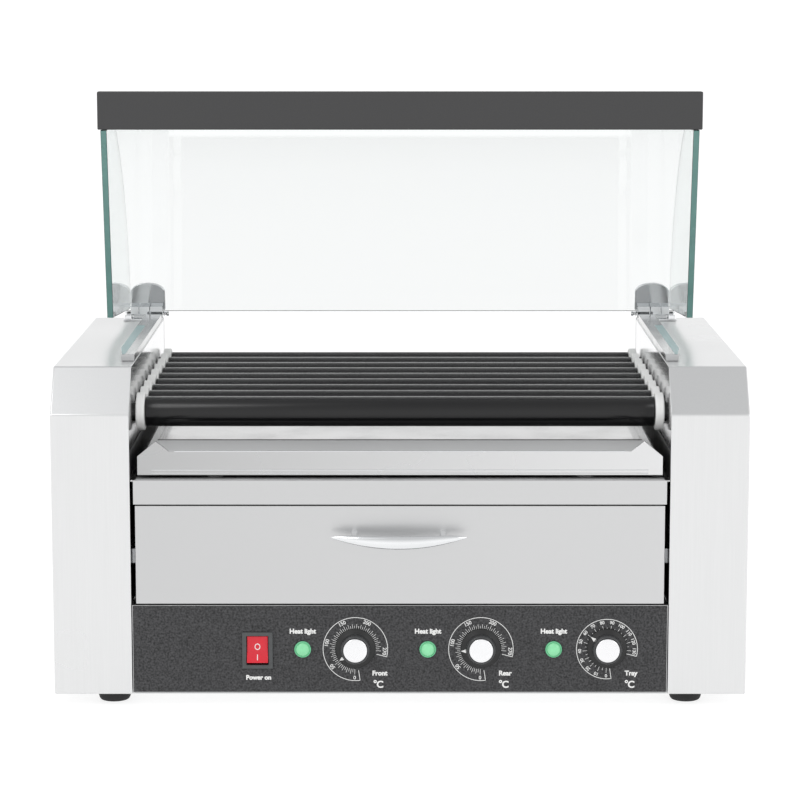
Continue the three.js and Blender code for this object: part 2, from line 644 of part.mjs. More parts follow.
// Hinge base: a long polished rail and a foot on the box top, two lugs reaching behind them, and
// the pressed-in pin.
function hingeBaseGeometry() {
  const top = BODY_H + 0.2;
  const inner = INNER + GAP;
  const outer = PANE_OUT;
  const railX = inner + HINGE_RAIL_W;
  const rail = extrude(polygon([[inner, HINGE_RAIL_Y0], [railX - 4.7, HINGE_RAIL_Y0],
    [railX, HINGE_RAIL_Y0 + 39], [railX, HINGE_RAIL_Y1], [inner, HINGE_RAIL_Y1]]), HINGE_RAIL_T);
  const foot = box(inner, outer, HINGE_RAIL_Y1 - 1, 356.5, top, top + 1.8);
  const lugs = [[inner, KNUCKLE_X0 - 0.5], [KNUCKLE_X1 + 0.5, outer]].flatMap(([x0, x1]) => [
    box(x0, x1, 352, HINGE_Y, top, HINGE_Z + 1),
    cylinder(KNUCKLE_R, x0, x1, 12, 'X').translate(0, HINGE_Y, HINGE_Z),
  ]);
  const pin = cylinder(PIN_R, PIN_X0, PIN_X1, 12, 'X').translate(0, HINGE_Y, HINGE_Z);
  const head = cylinder(PIN_R + 0.9, PIN_X0, PIN_X0 + 2.3, 12, 'X').translate(0, HINGE_Y, HINGE_Z);
  return join(rail.translate(0, 0, top), foot, ...lugs, pin, head);
}

function mirroredX(geometry) {
  return toGeometry(toSolid(geometry).mirror([1, 0, 0]));
}

function addHinges() {
  for (const [side, sign] of SIDES) {
    const place = (geometry) => (sign > 0 ? geometry : mirroredX(geometry));
    add(`${side}_hinge_leaf`, place(leafGeometry()), 'chrome');
    add(`${side}_hinge_base`, place(hingeBaseGeometry()), 'chrome');
  }
}

addSideBoxes();
addBase();
addRearPanel();
addFeet();
addRollers();
addSealsAndBearings();
addHeaterBank();
addDrive();
addControls();
addDrawer();
addDripTray();
addHoodGlass();
addHinges();

const group = new THREE.Group();
group.add(machine);
export default group;
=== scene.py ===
"""Looks of the hot dog roller grill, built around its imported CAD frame.

Blender units are metres, +Z up, and the front faces -Y. Shapes are written in millimetres of the
machine's own frame: x from its middle, y behind its front face, z above the underside of its boxes.
"""

import math

import bmesh
import bpy
from mathutils import Matrix, Vector


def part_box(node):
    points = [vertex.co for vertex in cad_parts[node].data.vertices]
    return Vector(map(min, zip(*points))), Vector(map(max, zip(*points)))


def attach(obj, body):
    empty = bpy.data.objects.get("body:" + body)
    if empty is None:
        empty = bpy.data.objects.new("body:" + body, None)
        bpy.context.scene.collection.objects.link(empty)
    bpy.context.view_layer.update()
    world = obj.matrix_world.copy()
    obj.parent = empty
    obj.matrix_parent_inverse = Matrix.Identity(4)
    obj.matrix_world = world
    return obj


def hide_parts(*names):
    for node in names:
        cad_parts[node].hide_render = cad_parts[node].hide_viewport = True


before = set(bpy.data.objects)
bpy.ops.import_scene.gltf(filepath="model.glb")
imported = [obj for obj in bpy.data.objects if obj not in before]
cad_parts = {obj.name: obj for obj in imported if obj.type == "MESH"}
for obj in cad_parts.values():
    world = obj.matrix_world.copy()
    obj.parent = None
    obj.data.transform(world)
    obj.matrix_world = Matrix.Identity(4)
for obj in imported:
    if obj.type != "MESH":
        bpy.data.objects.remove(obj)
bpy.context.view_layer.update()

MM = 0.001
scene = bpy.context.scene
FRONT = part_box("drawer_front")[0].y
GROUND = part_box("base_pan")[0].z
MACHINE = Matrix.Translation((0, FRONT, GROUND)) @ Matrix.Scale(MM, 4)
SIDES = [("left", -1), ("right", 1)]


def extent(node):
    """Lowest and highest corner of a CAD node, in machine millimetres."""
    back = MACHINE.inverted()
    return tuple(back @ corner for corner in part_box(node))


def middle_of(node, axes):
    """Middle of a CAD node along the named axes."""
    low, high = extent(node)
    return tuple((getattr(low, axis) + getattr(high, axis)) / 2 for axis in axes)


# ---- camera, light and floor ----
CAMERA_BACK = 2.32       # in front of the front face
CAMERA_UP = 0.6034       # above the underside of the boxes
CAMERA_PITCH = 8.66      # degrees below the horizon
CAMERA_LENS = 127.7
SENSOR_WIDTH = 36
FLOOR_HALF = 70.0        # far enough that the floor fills the view to its top
FLOOR_GLOW = 0.80        # a lit white table, so that the shadow under the machine stays pale
SKY_HEIGHTS = (0.1, 0.9) # white up to the first, grey from the second on; 1 is straight up
SKY_COLOURS = ((1, 1, 1, 1), (0.60, 0.605, 0.61, 1))
SKY_STRENGTH = 1.12
LIGHT_AIM = Vector((0, 0, 0.2))
LIGHTS = [               # name, place, size and power
    ("key", (-1.5, -1.5, 2.2), (1.2, 1.2), 14),
    ("fill", (1.9, -1.4, 1.3), (0.9, 1.4), 8),
    ("top_left", (-0.85, -1.0, 2.4), (1.1, 1.1), 1.1),
]


def add_camera():
    data = bpy.data.cameras.new("camera")
    data.lens = CAMERA_LENS
    data.sensor_width = SENSOR_WIDTH
    camera = bpy.data.objects.new("camera", data)
    camera.location = (0, FRONT - CAMERA_BACK, GROUND + CAMERA_UP)
    camera.rotation_euler = (math.radians(90 - CAMERA_PITCH), 0, 0)
    scene.collection.objects.link(camera)
    scene.camera = camera


def add_area_light(name, location, size, power):
    data = bpy.data.lights.new(name, "AREA")
    data.shape = "RECTANGLE"
    data.size, data.size_y = size
    data.energy = power
    light = bpy.data.objects.new(name, data)
    light.location = location
    aim = LIGHT_AIM - light.location
    light.rotation_euler = aim.to_track_quat("-Z", "Y").to_euler()
    scene.collection.objects.link(light)


def add_studio():
    """White surroundings that turn grey overhead, three soft lamps and a white floor."""
    world = bpy.data.worlds.new("studio")
    world.use_nodes = True
    tree = world.node_tree
    background = tree.nodes["Background"]
    direction = tree.nodes.new("ShaderNodeTexCoord")
    split = tree.nodes.new("ShaderNodeSeparateXYZ")
    ramp = tree.nodes.new("ShaderNodeValToRGB")
    for element, height, colour in zip(ramp.color_ramp.elements, SKY_HEIGHTS, SKY_COLOURS):
        element.position = height
        element.color = colour
    tree.links.new(direction.outputs["Generated"], split.inputs[0])
    tree.links.new(split.outputs["Z"], ramp.inputs[0])
    tree.links.new(ramp.outputs[0], background.inputs["Color"])
    background.inputs["Strength"].default_value = SKY_STRENGTH
    scene.world = world
    scene.view_settings.view_transform = "Standard"

    for light in LIGHTS:
        add_area_light(*light)

    mesh = bpy.data.meshes.new("floor")
    half = FLOOR_HALF
    corners = [(-half, -half, 0), (half, -half, 0), (half, half, 0), (-half, half, 0)]
    mesh.from_pydata(corners, [], [(0, 1, 2, 3)])
    floor = bpy.data.objects.new("floor", mesh)
    scene.collection.objects.link(floor)
    material = Surface("floor_white", (0.25, 0.25, 0.25), 0.7)
    material.vary(scale=3, amount=0.01)
    material.set("Emission Color", (1, 1, 1, 1)).set("Emission Strength", FLOOR_GLOW)
    mesh.materials.append(material.material)


# ---- materials ----
NOISE_RANGE = (0.3, 0.7)            # most values of a noise texture lie between these
PAINTED_LIGHT_HALF = 0.22                   # the painted light, darker on the left and lighter on the right, runs this far to each side, in metres


class Surface:
    """A Principled material, with procedural variation added by the calls below."""

    def __init__(self, name, colour, roughness, metallic=0.0):
        self.material = bpy.data.materials.new(name)
        self.material.use_nodes = True
        self.tree = self.material.node_tree
        self.shader = self.tree.nodes["Principled BSDF"]
        self.colour = (*colour, 1)
        self.roughness = roughness
        self.set("Base Color", self.colour)
        self.set("Roughness", roughness)
        self.set("Metallic", metallic)

    def set(self, socket, value):
        self.shader.inputs[socket].default_value = value
        return self

    def shade(self, share):
        """The colour, lighter or darker by a share of itself."""
        return (*(min(1, c * (1 + share)) for c in self.colour[:3]), 1)

    def noise(self, scale, stretch=(1, 1, 1)):
        """Noise in the piece's own coordinates; scale counts features per metre."""
        nodes, links = self.tree.nodes, self.tree.links
        place = nodes.new("ShaderNodeTexCoord")
        mapping = nodes.new("ShaderNodeMapping")
        mapping.inputs["Scale"].default_value = stretch
        noise = nodes.new("ShaderNodeTexNoise")
        noise.inputs["Scale"].default_value = scale
        noise.inputs["Detail"].default_value = 3
        links.new(place.outputs["Object"], mapping.inputs["Vector"])
        links.new(mapping.outputs["Vector"], noise.inputs["Vector"])
        return noise.outputs["Fac"]

    def vary(self, scale, amount, stretch=(1, 1, 1)):
        """Lightens and darkens the colour by a share of itself."""
        value = self.noise(scale, stretch)
        ramp = self.tree.nodes.new("ShaderNodeValToRGB")
        for element, place, share in zip(ramp.color_ramp.elements, NOISE_RANGE, (-amount, amount)):
            element.position = place
            element.color = self.shade(share)
        self.tree.links.new(value, ramp.inputs[0])
        self.tree.links.new(ramp.outputs[0], self.shader.inputs["Base Color"])
        return self

    def worn(self, scale, amount):
        """Varies the roughness."""
        node = self.tree.nodes.new("ShaderNodeMapRange")
        node.inputs["From Min"].default_value = NOISE_RANGE[0]
        node.inputs["From Max"].default_value = NOISE_RANGE[1]
        node.inputs["To Min"].default_value = self.roughness - amount
        node.inputs["To Max"].default_value = self.roughness + amount
        self.tree.links.new(self.noise(scale), node.inputs["Value"])
        self.tree.links.new(node.outputs["Result"], self.shader.inputs["Roughness"])
        return self

    def bumped(self, scale, depth, strength=0.3, stretch=(1, 1, 1)):
        """A fine relief, depth in metres."""
        bump = self.tree.nodes.new("ShaderNodeBump")
        bump.inputs["Strength"].default_value = strength
        bump.inputs["Distance"].default_value = depth
        self.tree.links.new(self.noise(scale, stretch), bump.inputs["Height"])
        self.tree.links.new(bump.outputs["Normal"], self.shader.inputs["Normal"])
        return self

    def drift(self, amount):
        """Paints light falling from the right: darkens the colour to the left of the machine's middle and
        lightens it to the right.
        """
        nodes, links = self.tree.nodes, self.tree.links
        place = nodes.new("ShaderNodeTexCoord")
        split = nodes.new("ShaderNodeSeparateXYZ")
        span = nodes.new("ShaderNodeMapRange")
        span.inputs["From Min"].default_value = -PAINTED_LIGHT_HALF
        span.inputs["From Max"].default_value = PAINTED_LIGHT_HALF
        ramp = nodes.new("ShaderNodeValToRGB")
        for element, share in zip(ramp.color_ramp.elements, (-amount, amount)):
            element.color = self.shade(share)
        links.new(place.outputs["Object"], split.inputs[0])
        links.new(split.outputs["X"], span.inputs["Value"])
        links.new(span.outputs["Result"], ramp.inputs[0])
        links.new(ramp.outputs[0], self.shader.inputs["Base Color"])
        return self


GRAIN = {"X": (0.02, 1, 1), "Y": (1, 0.02, 1), "Z": (1, 1, 0.02)}
GLASS_TINT = (0.136, 0.436, 0.371, 1)
GLASS_DENSITY = 14


def brushed(name, colour, roughness, grain, drift=0.0):
    """Steel brushed along one axis, with painted light from left to right where an amount is given."""
    steel = Surface(name, colour, roughness, 1)
    if drift:
        steel.drift(drift)
    else:
        steel.vary(900, 0.012, GRAIN[grain])
    steel.worn(5, 0.03)
    steel.bumped(1500, 0.00004, 0.10, GRAIN[grain])
    return steel


def polished(name, colour, roughness):
    return Surface(name, colour, roughness, 1).vary(40, 0.02).worn(25, roughness * 0.3)


def make_glass():
    """Float glass: clear through its thickness and green along it; lamps shine through it."""
    glass = Surface("hood_glass", (0.985, 0.977, 0.979), 0.0)
    glass.set("Transmission Weight", 1).set("IOR", 1.45)
    glass.bumped(6, 0.0002, 0.02)
    tree = glass.tree
    output = tree.nodes["Material Output"]
    clear = tree.nodes.new("ShaderNodeBsdfTransparent")
    path = tree.nodes.new("ShaderNodeLightPath")
    mix = tree.nodes.new("ShaderNodeMixShader")
    tree.links.new(path.outputs["Is Shadow Ray"], mix.inputs[0])
    tree.links.new(glass.shader.outputs[0], mix.inputs[1])
    tree.links.new(clear.outputs[0], mix.inputs[2])
    tree.links.new(mix.outputs[0], output.inputs["Surface"])
    absorb = tree.nodes.new("ShaderNodeVolumeAbsorption")
    absorb.inputs["Color"].default_value = GLASS_TINT
    absorb.inputs["Density"].default_value = GLASS_DENSITY
    tree.links.new(absorb.outputs[0], output.inputs["Volume"])
    return glass


def make_materials():
    """Every material by its short name. vary, worn and bumped take features per metre first."""
    surfaces = {
        "case": brushed("case_steel", (0.745, 0.748, 0.75), 0.30, "Z"),
        # front and tray steel carry painted light: darker to the left, lighter to the right
        "front": brushed("front_steel", (0.60, 0.602, 0.605), 0.30, "X", 0.035),
        "tray": brushed("tray_steel", (0.60, 0.602, 0.605), 0.28, "X", 0.22),
        "lip": brushed("lip_steel", (0.73, 0.732, 0.735), 0.62, "X"),
        "inside": brushed("inside_steel", (0.72, 0.725, 0.73), 0.34, "Y"),
        "liner": polished("liner_steel", (0.80, 0.80, 0.81), 0.12),
        "basin": polished("basin_steel", (0.45, 0.452, 0.454), 0.12),
        "chrome": polished("chrome", (0.82, 0.83, 0.84), 0.06),
        "leaf": polished("leaf_chrome", (0.66, 0.68, 0.69), 0.08),
        "rail": polished("rail_steel", (0.50, 0.505, 0.51), 0.16),
        "cap": polished("cap_silver", (0.88, 0.88, 0.89), 0.22),
        "zinc": Surface("zinc_steel", (0.42, 0.43, 0.44), 0.42, 1).vary(60, 0.12).worn(30, 0.1),
        "bronze": Surface("bronze", (0.48, 0.32, 0.14), 0.38, 1).vary(80, 0.12).worn(40, 0.08),
        "element": Surface("element_steel", (0.22, 0.21, 0.20), 0.5, 1).vary(70, 0.2).worn(30, 0.1),
        "glass": make_glass(),
        "edge": Surface("glass_edge", (0.105, 0.225, 0.205), 0.25).vary(90, 0.08).worn(40, 0.05),
        # teal: painted reflection of the side pane's green edge in the polished rail
        "reflection_teal": Surface("painted_reflection_teal", (0.23, 0.36, 0.37), 0.3).vary(60, 0.05),
        "ptfe": Surface("ptfe", (0.82, 0.82, 0.81), 0.42).vary(50, 0.03).bumped(600, 0.00003),
        "print": Surface("print_white", (0.80, 0.80, 0.79), 0.5).vary(700, 0.04),
        "red": Surface("red_plastic", (0.62, 0.012, 0.028), 0.22).vary(120, 0.05).worn(60, 0.04),
        "bezel": Surface("bezel_plastic", (0.060, 0.064, 0.066), 0.4).vary(300, 0.1).worn(40, 0.05),
        # the grip's black is lighter than the skirt's: painted light on the grip's sides
        "grip": Surface("knob_grip", (0.050, 0.051, 0.053), 0.26).vary(400, 0.08),
        "skirt": Surface("knob_skirt", (0.009, 0.0092, 0.0095), 0.5).vary(400, 0.08),
        "rim": Surface("lamp_rim", (0.15, 0.52, 0.28), 0.25).vary(160, 0.08),
        "lens": Surface("lamp_green", (0.24, 0.66, 0.36), 0.22).vary(160, 0.06).worn(60, 0.04),
        # a flat grey standing in for the deck's steel in the shade of the tray's plate
        "sill": Surface("sill_painted_shade", (0.50, 0.502, 0.505), 0.6).vary(60, 0.1),
        "trim": Surface("trim_grey", (0.037, 0.037, 0.038), 0.42).vary(900, 0.08),
        "black": Surface("black_plastic", (0.012, 0.012, 0.013), 0.34).vary(300, 0.15).worn(40, 0.05),
        "rubber": Surface("foot_rubber", (0.012, 0.012, 0.013), 0.75).vary(200, 0.2),
        "overlay": Surface("overlay", (0.040, 0.040, 0.042), 0.55).vary(620, 0.75),
        "roller": Surface("roller_black", (0.006, 0.006, 0.0065), 0.22).vary(1400, 0.1).worn(20, 0.03),
    }
    surfaces["trim"].bumped(1500, 0.00003, 0.15)
    surfaces["black"].bumped(1500, 0.00003, 0.15)
    surfaces["rubber"].bumped(900, 0.0001)
    surfaces["overlay"].bumped(620, 0.00005, 0.25).set("Specular IOR Level", 0.35)
    surfaces["roller"].set("Specular IOR Level", 0.42)
    surfaces["roller"].set("Sheen Weight", 0.25).set("Sheen Roughness", 0.25)
    surfaces["lens"].set("Emission Color", (0.3, 0.9, 0.45, 1)).set("Emission Strength", 0.05)
    return {name: surface.material for name, surface in surfaces.items()}


# ---- mesh work, in machine millimetres ----
PLANES = {"X": lambda a, u, v: (a, u, v), "Y": lambda a, u, v: (u, a, v), "Z": lambda a, u, v: (u, v, a)}


def skin(bm, rings):
    """Faces from each ring of vertices to the next. A ring may be one vertex, repeated."""
    count = len(rings[0])
    for a, b in zip(rings, rings[1:]):
        for i in range(count):
            j = (i + 1) % count
            corners = []
            for vert in (a[i], a[j], b[j], b[i]):
                if vert not in corners:
                    corners.append(vert)
            if len(corners) > 2:
                bm.faces.new(corners)


def capped(bm, first, last):
    """A closed solid between two rings of vertices."""
    bm.faces.new(first[::-1])
    bm.faces.new(last)
    skin(bm, [first, last])


def prism(bm, outline, axis, low, high):
    """A closed outline drawn out along an axis. Its points are the other two coordinates."""
    place = PLANES[axis]
    capped(bm, *([bm.verts.new(place(a, u, v)) for u, v in outline] for a in (low, high)))


def bored_prism(bm, outline, centre, bore, axis, low, high):
    """A prism with a round hole along it. Its outline turns once round the centre."""
    place = PLANES[axis]
    hole = []
    for u, v in outline:
        angle = math.atan2(v - centre[1], u - centre[0])
        hole.append((centre[0] + bore * math.cos(angle), centre[1] + bore * math.sin(angle)))
    rings = [[bm.verts.new(place(a, u, v)) for u, v in points]
             for points, a in ((outline, low), (outline, high), (hole, high), (hole, low))]
    skin(bm, rings + rings[:1])


def block(bm, x0, x1, y0, y1, z0, z1):
    prism(bm, [(y0, z0), (y1, z0), (y1, z1), (y0, z1)], "X", x0, x1)


def lathe(bm, profile, axis, centre, sides):
    """A closed profile of (along, radius) points, turned about a line through centre."""
    place = PLANES[axis]
    cu, cv = centre
    rings = []
    for along, radius in profile:
        if radius == 0:
            rings.append([bm.verts.new(place(along, cu, cv))] * sides)
            continue
        ring = []
        for i in range(sides):
            angle = 2 * math.pi * i / sides
            u, v = cu + radius * math.cos(angle), cv + radius * math.sin(angle)
            ring.append(bm.verts.new(place(along, u, v)))
        rings.append(ring)
    if profile[0][1]:
        rings.append(rings[0])
    skin(bm, rings)


def rounded(profile, radius, steps=4):
    """Rounds the corners of a profile, the first and last points apart."""
    points = [Vector(p) for p in profile]
    result = [profile[0]]
    for before, corner, after in zip(points, points[1:], points[2:]):
        reach = min(radius, (before - corner).length / 2, (after - corner).length / 2)
        start = corner + (before - corner).normalized() * reach
        end = corner + (after - corner).normalized() * reach
        for i in range(steps + 1):
            t = i / steps
            result.append(tuple(start.lerp(corner, t).lerp(corner.lerp(end, t), t)))
    result.append(profile[-1])
    return result


def arc(centre, radius, start, end, steps):
    """Points on a circle from one angle to another."""
    cu, cv = centre
    angles = [start + (end - start) * i / steps for i in range(steps + 1)]
    return [(cu + radius * math.cos(a), cv + radius * math.sin(a)) for a in angles]


BEVEL_STEPS = 3
BEVEL_ANGLE = math.radians(32)      # edges sharper than this are rounded
SHEET_ANGLE = math.radians(30)      # the same for the edges of CAD sheets
CUT_SHARE = 0.3                     # bevel of a cut edge, as a share of a bent one's


def settle(obj):
    """Turns the modifiers into the piece's own mesh."""
    graph = bpy.context.evaluated_depsgraph_get()
    mesh = bpy.data.meshes.new_from_object(obj.evaluated_get(graph))
    obj.modifiers.clear()
    obj.data = mesh


def soften(obj, width, by_weight=False):
    """Rounds sharp edges by width, in millimetres, and keeps flat faces flat."""
    bevel = obj.modifiers.new("bevel", "BEVEL")
    bevel.width = width * MM
    bevel.segments = BEVEL_STEPS
    bevel.limit_method = "WEIGHT" if by_weight else "ANGLE"
    bevel.angle_limit = BEVEL_ANGLE
    bevel.use_clamp_overlap = True
    obj.modifiers.new("normals", "WEIGHTED_NORMAL").keep_sharp = True


def piece(name, bm, material, body, slot, *nodes, bevel=0.0, sharp=38, world=False):
    """One finished object: scaled into the frame, shaded, softened, and riding on its body."""
    bmesh.ops.recalc_face_normals(bm, faces=bm.faces)
    if not world:
        bm.transform(MACHINE)
    mesh = bpy.data.meshes.new(name)
    bm.to_mesh(mesh)
    bm.free()
    mesh.materials.append(MATERIALS[material])
    mesh.shade_smooth()
    mesh.set_sharp_from_angle(angle=math.radians(sharp))
    obj = bpy.data.objects.new(name, mesh)
    scene.collection.objects.link(obj)
    if bevel:
        soften(obj, bevel)
        settle(obj)
    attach(obj, body)
    if nodes:
        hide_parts(*nodes)
    return obj


def turned(name, profile, axis, centre, sides, material, body, slot, *nodes):
    """One finished object made by a lathe."""
    bm = bmesh.new()
    lathe(bm, profile, axis, centre, sides)
    piece(name, bm, material, body, slot, *nodes)


def blocks(name, boxes, material, body, slot, bevel=0.0):
    """One finished object made of blocks, each given by its six limits."""
    bm = bmesh.new()
    for box in boxes:
        block(bm, *box)
    piece(name, bm, material, body, slot, bevel=bevel)


def refined(node, name, material, body, slot, bevel, fold=None):
    """A CAD sheet with rounded edges. fold picks the edges that are bent, which are rounder."""
    bm = bmesh.new()
    bm.from_mesh(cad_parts[node].data)
    bmesh.ops.remove_doubles(bm, verts=bm.verts, dist=1e-6)
    bmesh.ops.dissolve_limit(bm, angle_limit=math.radians(1), verts=bm.verts, edges=bm.edges)
    bmesh.ops.connect_verts_concave(bm, faces=[face for face in bm.faces if len(face.verts) > 4])
    weight = bm.edges.layers.float.new("bevel_weight_edge")
    for edge in bm.edges:
        if edge.is_manifold and edge.calc_face_angle() > SHEET_ANGLE:
            bent = fold is None or fold(edge)
            edge[weight] = 1.0 if bent else CUT_SHARE
    obj = piece(name, bm, material, body, slot, node, world=True)
    soften(obj, bevel, by_weight=True)
    settle(obj)


def keep(node, material):
    """Gives a CAD node that stays in view its material."""
    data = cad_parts[node].data
    data.materials.clear()
    data.materials.append(MATERIALS[material])


MATERIALS = make_materials()
add_camera()
add_studio()


# ---- housing ----
FOLD_LENGTH = 30 * MM       # edges longer than this across a side box are bends
FOLD_REACH = 2 * MM         # edges this near its outer face are bends too
SHEETS = [                  # node, piece, material and bevel
    ("tray_deck", "deck_and_rail", "front", 0.5),
    ("control_panel", "control_plate", "front", 0.25),
    ("rear_panel", "louvred_back", "inside", 0.3),
    ("service_panel", "service_plate", "inside", 0.3),
    ("base_pan", "bottom_pan", "inside", 0.4),
]
FOOT_R = 14
FOOT_TAPER = 2.2
FOOT_SHOULDER_Z = -3.4      # a foot widens to its full radius here
SCREW_HEAD = [              # height and radius of a domed head with a round recess
    (0, 3.4), (0.5, 3.4), (1.3, 2.7), (1.7, 1.6), (1.75, 1.3), (0.9, 0.9), (0.9, 0),
]
SCREW_FLATNESS = 0.4        # share of that height which is used
SCREW_MARGIN = 10
PINS = [(-7, -1.6), (7, -1.6), (0, 2.4)]        # of the inlet, from its middle
PIN_HALF = (1.0, 2.0)                           # across and upward
PIN_DEPTH = (17, 4)                             # behind the inlet's rim


def add_housing():
    for side, sign in SIDES:
        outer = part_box(f"{side}_side_box")[0 if sign < 0 else 1].x

        def folded(edge, outer=outer):
            a, b = (vert.co for vert in edge.verts)
            return abs(a.x - b.x) > FOLD_LENGTH or abs(a.x - outer) + abs(b.x - outer) < FOLD_REACH

        refined(f"{side}_side_box", f"{side}_case", "case", "housing", "case_steel", 1.2, folded)
        keep(f"{side}_inner_panel", "liner")
        keep(f"{side}_bearing_bar", "bronze")
        keep(f"{side}_drawer_runner", "zinc")
    for node, name, material, bevel in SHEETS:
        refined(node, name, material, "housing", "case_steel", bevel)
    keep("drawer_shelf", "zinc")
    for end in ("front", "rear"):
        for side, _ in SIDES:
            add_foot(f"{end}_{side}_foot")


def add_foot(node):
    low, high = extent(node)
    outline = [(low.z, 0), (low.z, FOOT_R - FOOT_TAPER), (low.z + FOOT_TAPER, FOOT_R - 0.8),
               (FOOT_SHOULDER_Z, FOOT_R), (high.z, FOOT_R), (high.z, 0)]
    turned(node.replace("_foot", "_pad"), rounded(outline, 1.2), "Z", middle_of(node, "xy"), 48,
           "rubber", "housing", "foot_rubber", node)


def add_rear_details():
    low, high = extent("rear_panel")
    near, far = low.x + SCREW_MARGIN, -low.x - SCREW_MARGIN
    columns = (near, high.x - SCREW_MARGIN, high.x + SCREW_MARGIN, far)
    rows = (low.z + SCREW_MARGIN, (low.z + high.z) / 2, high.z - SCREW_MARGIN)
    head = [(high.y, 0)]
    head += [(high.y + SCREW_FLATNESS * rise, radius) for rise, radius in SCREW_HEAD]
    bm = bmesh.new()
    for x in columns:
        for z in rows:
            lathe(bm, head, "Y", (x, z), 24)
    piece("rear_screws", bm, "chrome", "housing", "zinc_steel")

    refined("power_inlet", "inlet_socket", "black", "housing", "black_plastic", 0.6)
    x, z = middle_of("power_inlet", "xz")
    rim = extent("power_inlet")[1].y
    half_x, half_z = PIN_HALF
    start, end = (rim - depth for depth in PIN_DEPTH)
    pins = [(x + dx - half_x, x + dx + half_x, start, end, z + dz - half_z, z + dz + half_z)
            for dx, dz in PINS]
    blocks("inlet_pins", pins, "chrome", "housing", "zinc_steel", bevel=0.4)


# ---- rollers ----
ROLLERS = 9
ROLLER_PITCH = 35
ROLLER_R = 12.7
ROLLER_HALF = 215
ROLLER_EDGE = 0.9           # rounding of a roller's ends
JOURNAL_R = 8
JOURNAL_BORE_R = 5.5
JOURNAL_EDGE = 0.5
SPROCKET_TEETH = 12
SPROCKET_R = 13.5
SPROCKET_ROOT_R = 11.2
SPROCKET_X = -240
SPROCKET_W = 4
SPROCKET_BORE_R = JOURNAL_R - 0.6   # it grips its journal
SHAFT_R = 4                 # of the motor
SHAFT_OUTWARD = 18          # from the middle of its sprocket
SHAFT_INWARD = 4
SEAL_W = 7.5
SEAL_BORE_R = 9.2
SEAL_STEP = 3.4             # the neck behind a seal's ring is this much lower
SEAL_WEB_HALF = 2.6
SEAL_OVERLAP = 2            # of the web into each ring


def sprocket_outline(centre):
    """Rounded teeth: the radius swings between root and tip."""
    points = []
    steps = SPROCKET_TEETH * 6
    middle = (SPROCKET_R + SPROCKET_ROOT_R) / 2
    swing = (SPROCKET_R - SPROCKET_ROOT_R) / 2
    for i in range(steps):
        angle = 2 * math.pi * i / steps
        radius = middle + swing * math.cos(SPROCKET_TEETH * angle)
        points.append((centre[0] + radius * math.cos(angle), centre[1] + radius * math.sin(angle)))
    return points


def add_sprocket(name, body, centre, node=None):
    """A sprocket with a bore, or the motor's with its shaft, which replaces a node."""
    bm = bmesh.new()
    ends = SPROCKET_X - SPROCKET_W / 2, SPROCKET_X + SPROCKET_W / 2
    if not node:
        bored_prism(bm, sprocket_outline(centre), centre, SPROCKET_BORE_R, "X", *ends)
    else:
        prism(bm, sprocket_outline(centre), "X", *ends)
        start, end = SPROCKET_X - SHAFT_OUTWARD, SPROCKET_X + SHAFT_INWARD
        shaft = [(start, 0), (start, SHAFT_R), (end, SHAFT_R), (end, 0)]
        lathe(bm, rounded(shaft, 0.4), "X", centre, 32)
    nodes = [node] if node else []
    piece(name, bm, "zinc", body, "zinc_steel", *nodes, bevel=0.2)


def add_rollers():
    half, edge = ROLLER_HALF, ROLLER_EDGE
    for i in range(1, ROLLERS + 1):
        node = f"roller_{i}"
        low, high = extent(node)
        centre = middle_of(node, "yz")
        profile = [
            (low.x, JOURNAL_BORE_R), (low.x, JOURNAL_R - JOURNAL_EDGE), (low.x + JOURNAL_EDGE, JOURNAL_R),
            (-half, JOURNAL_R), (-half, ROLLER_R - edge), (-half + 0.3, ROLLER_R - 0.25),
            (-half + edge, ROLLER_R), (half - edge, ROLLER_R), (half - 0.3, ROLLER_R - 0.25),
            (half, ROLLER_R - edge), (half, JOURNAL_R), (high.x - JOURNAL_EDGE, JOURNAL_R),
            (high.x, JOURNAL_R - JOURNAL_EDGE), (high.x, JOURNAL_BORE_R),
        ]
        turned(f"{node}_tube", profile, "X", centre, 72, "roller", node, "roller_black", node)
        add_sprocket(f"{node}_sprocket", node, centre)


def add_seals():
    """White end seals: a flanged ring at each roller end, joined to its neighbours."""
    for side, sign in SIDES:
        node = f"{side}_seal_strip"
        low, high = extent(node)
        near, far = (high.x, low.x) if sign < 0 else (low.x, high.x)
        step = (far - near) / SEAL_W        # one millimetre, away from the rollers
        radius = (high.z - low.z) / 2
        neck = radius - SEAL_STEP
        middle = (high.z + low.z) / 2
        bm = bmesh.new()
        for i in range(1, ROLLERS + 1):
            y, = middle_of(f"roller_{i}", "y")
            ring = [(near, SEAL_BORE_R), (near, radius - 1.0), (near + 0.4 * step, radius - 0.3),
                    (near + step, radius), (near + 6.4 * step, radius),
                    (near + 6.9 * step, radius - 0.5), (near + 6.9 * step, neck),
                    (far, neck), (far, SEAL_BORE_R)]
            lathe(bm, ring, "X", (y, middle), 56)
            if i < ROLLERS:
                x0, x1 = sorted((near + 0.8 * step, near + 4.4 * step))
                y0 = y + radius - SEAL_OVERLAP
                y1 = y + ROLLER_PITCH - radius + SEAL_OVERLAP
                block(bm, x0, x1, y0, y1, middle - SEAL_WEB_HALF, middle + SEAL_WEB_HALF)
        piece(f"{side}_seals", bm, "ptfe", "housing", "ptfe", node)


def add_hidden_parts():
    keep("heater_bank", "element")
    keep("drawer_heater", "element")
    keep("drive_chain", "zinc")
    keep("gear_motor", "zinc")
    for i in (1, 2, 3):
        keep(f"thermostat_{i}", "zinc")
    add_sprocket("motor_gear", "motor_shaft", middle_of("motor_sprocket", "yz"), "motor_sprocket")


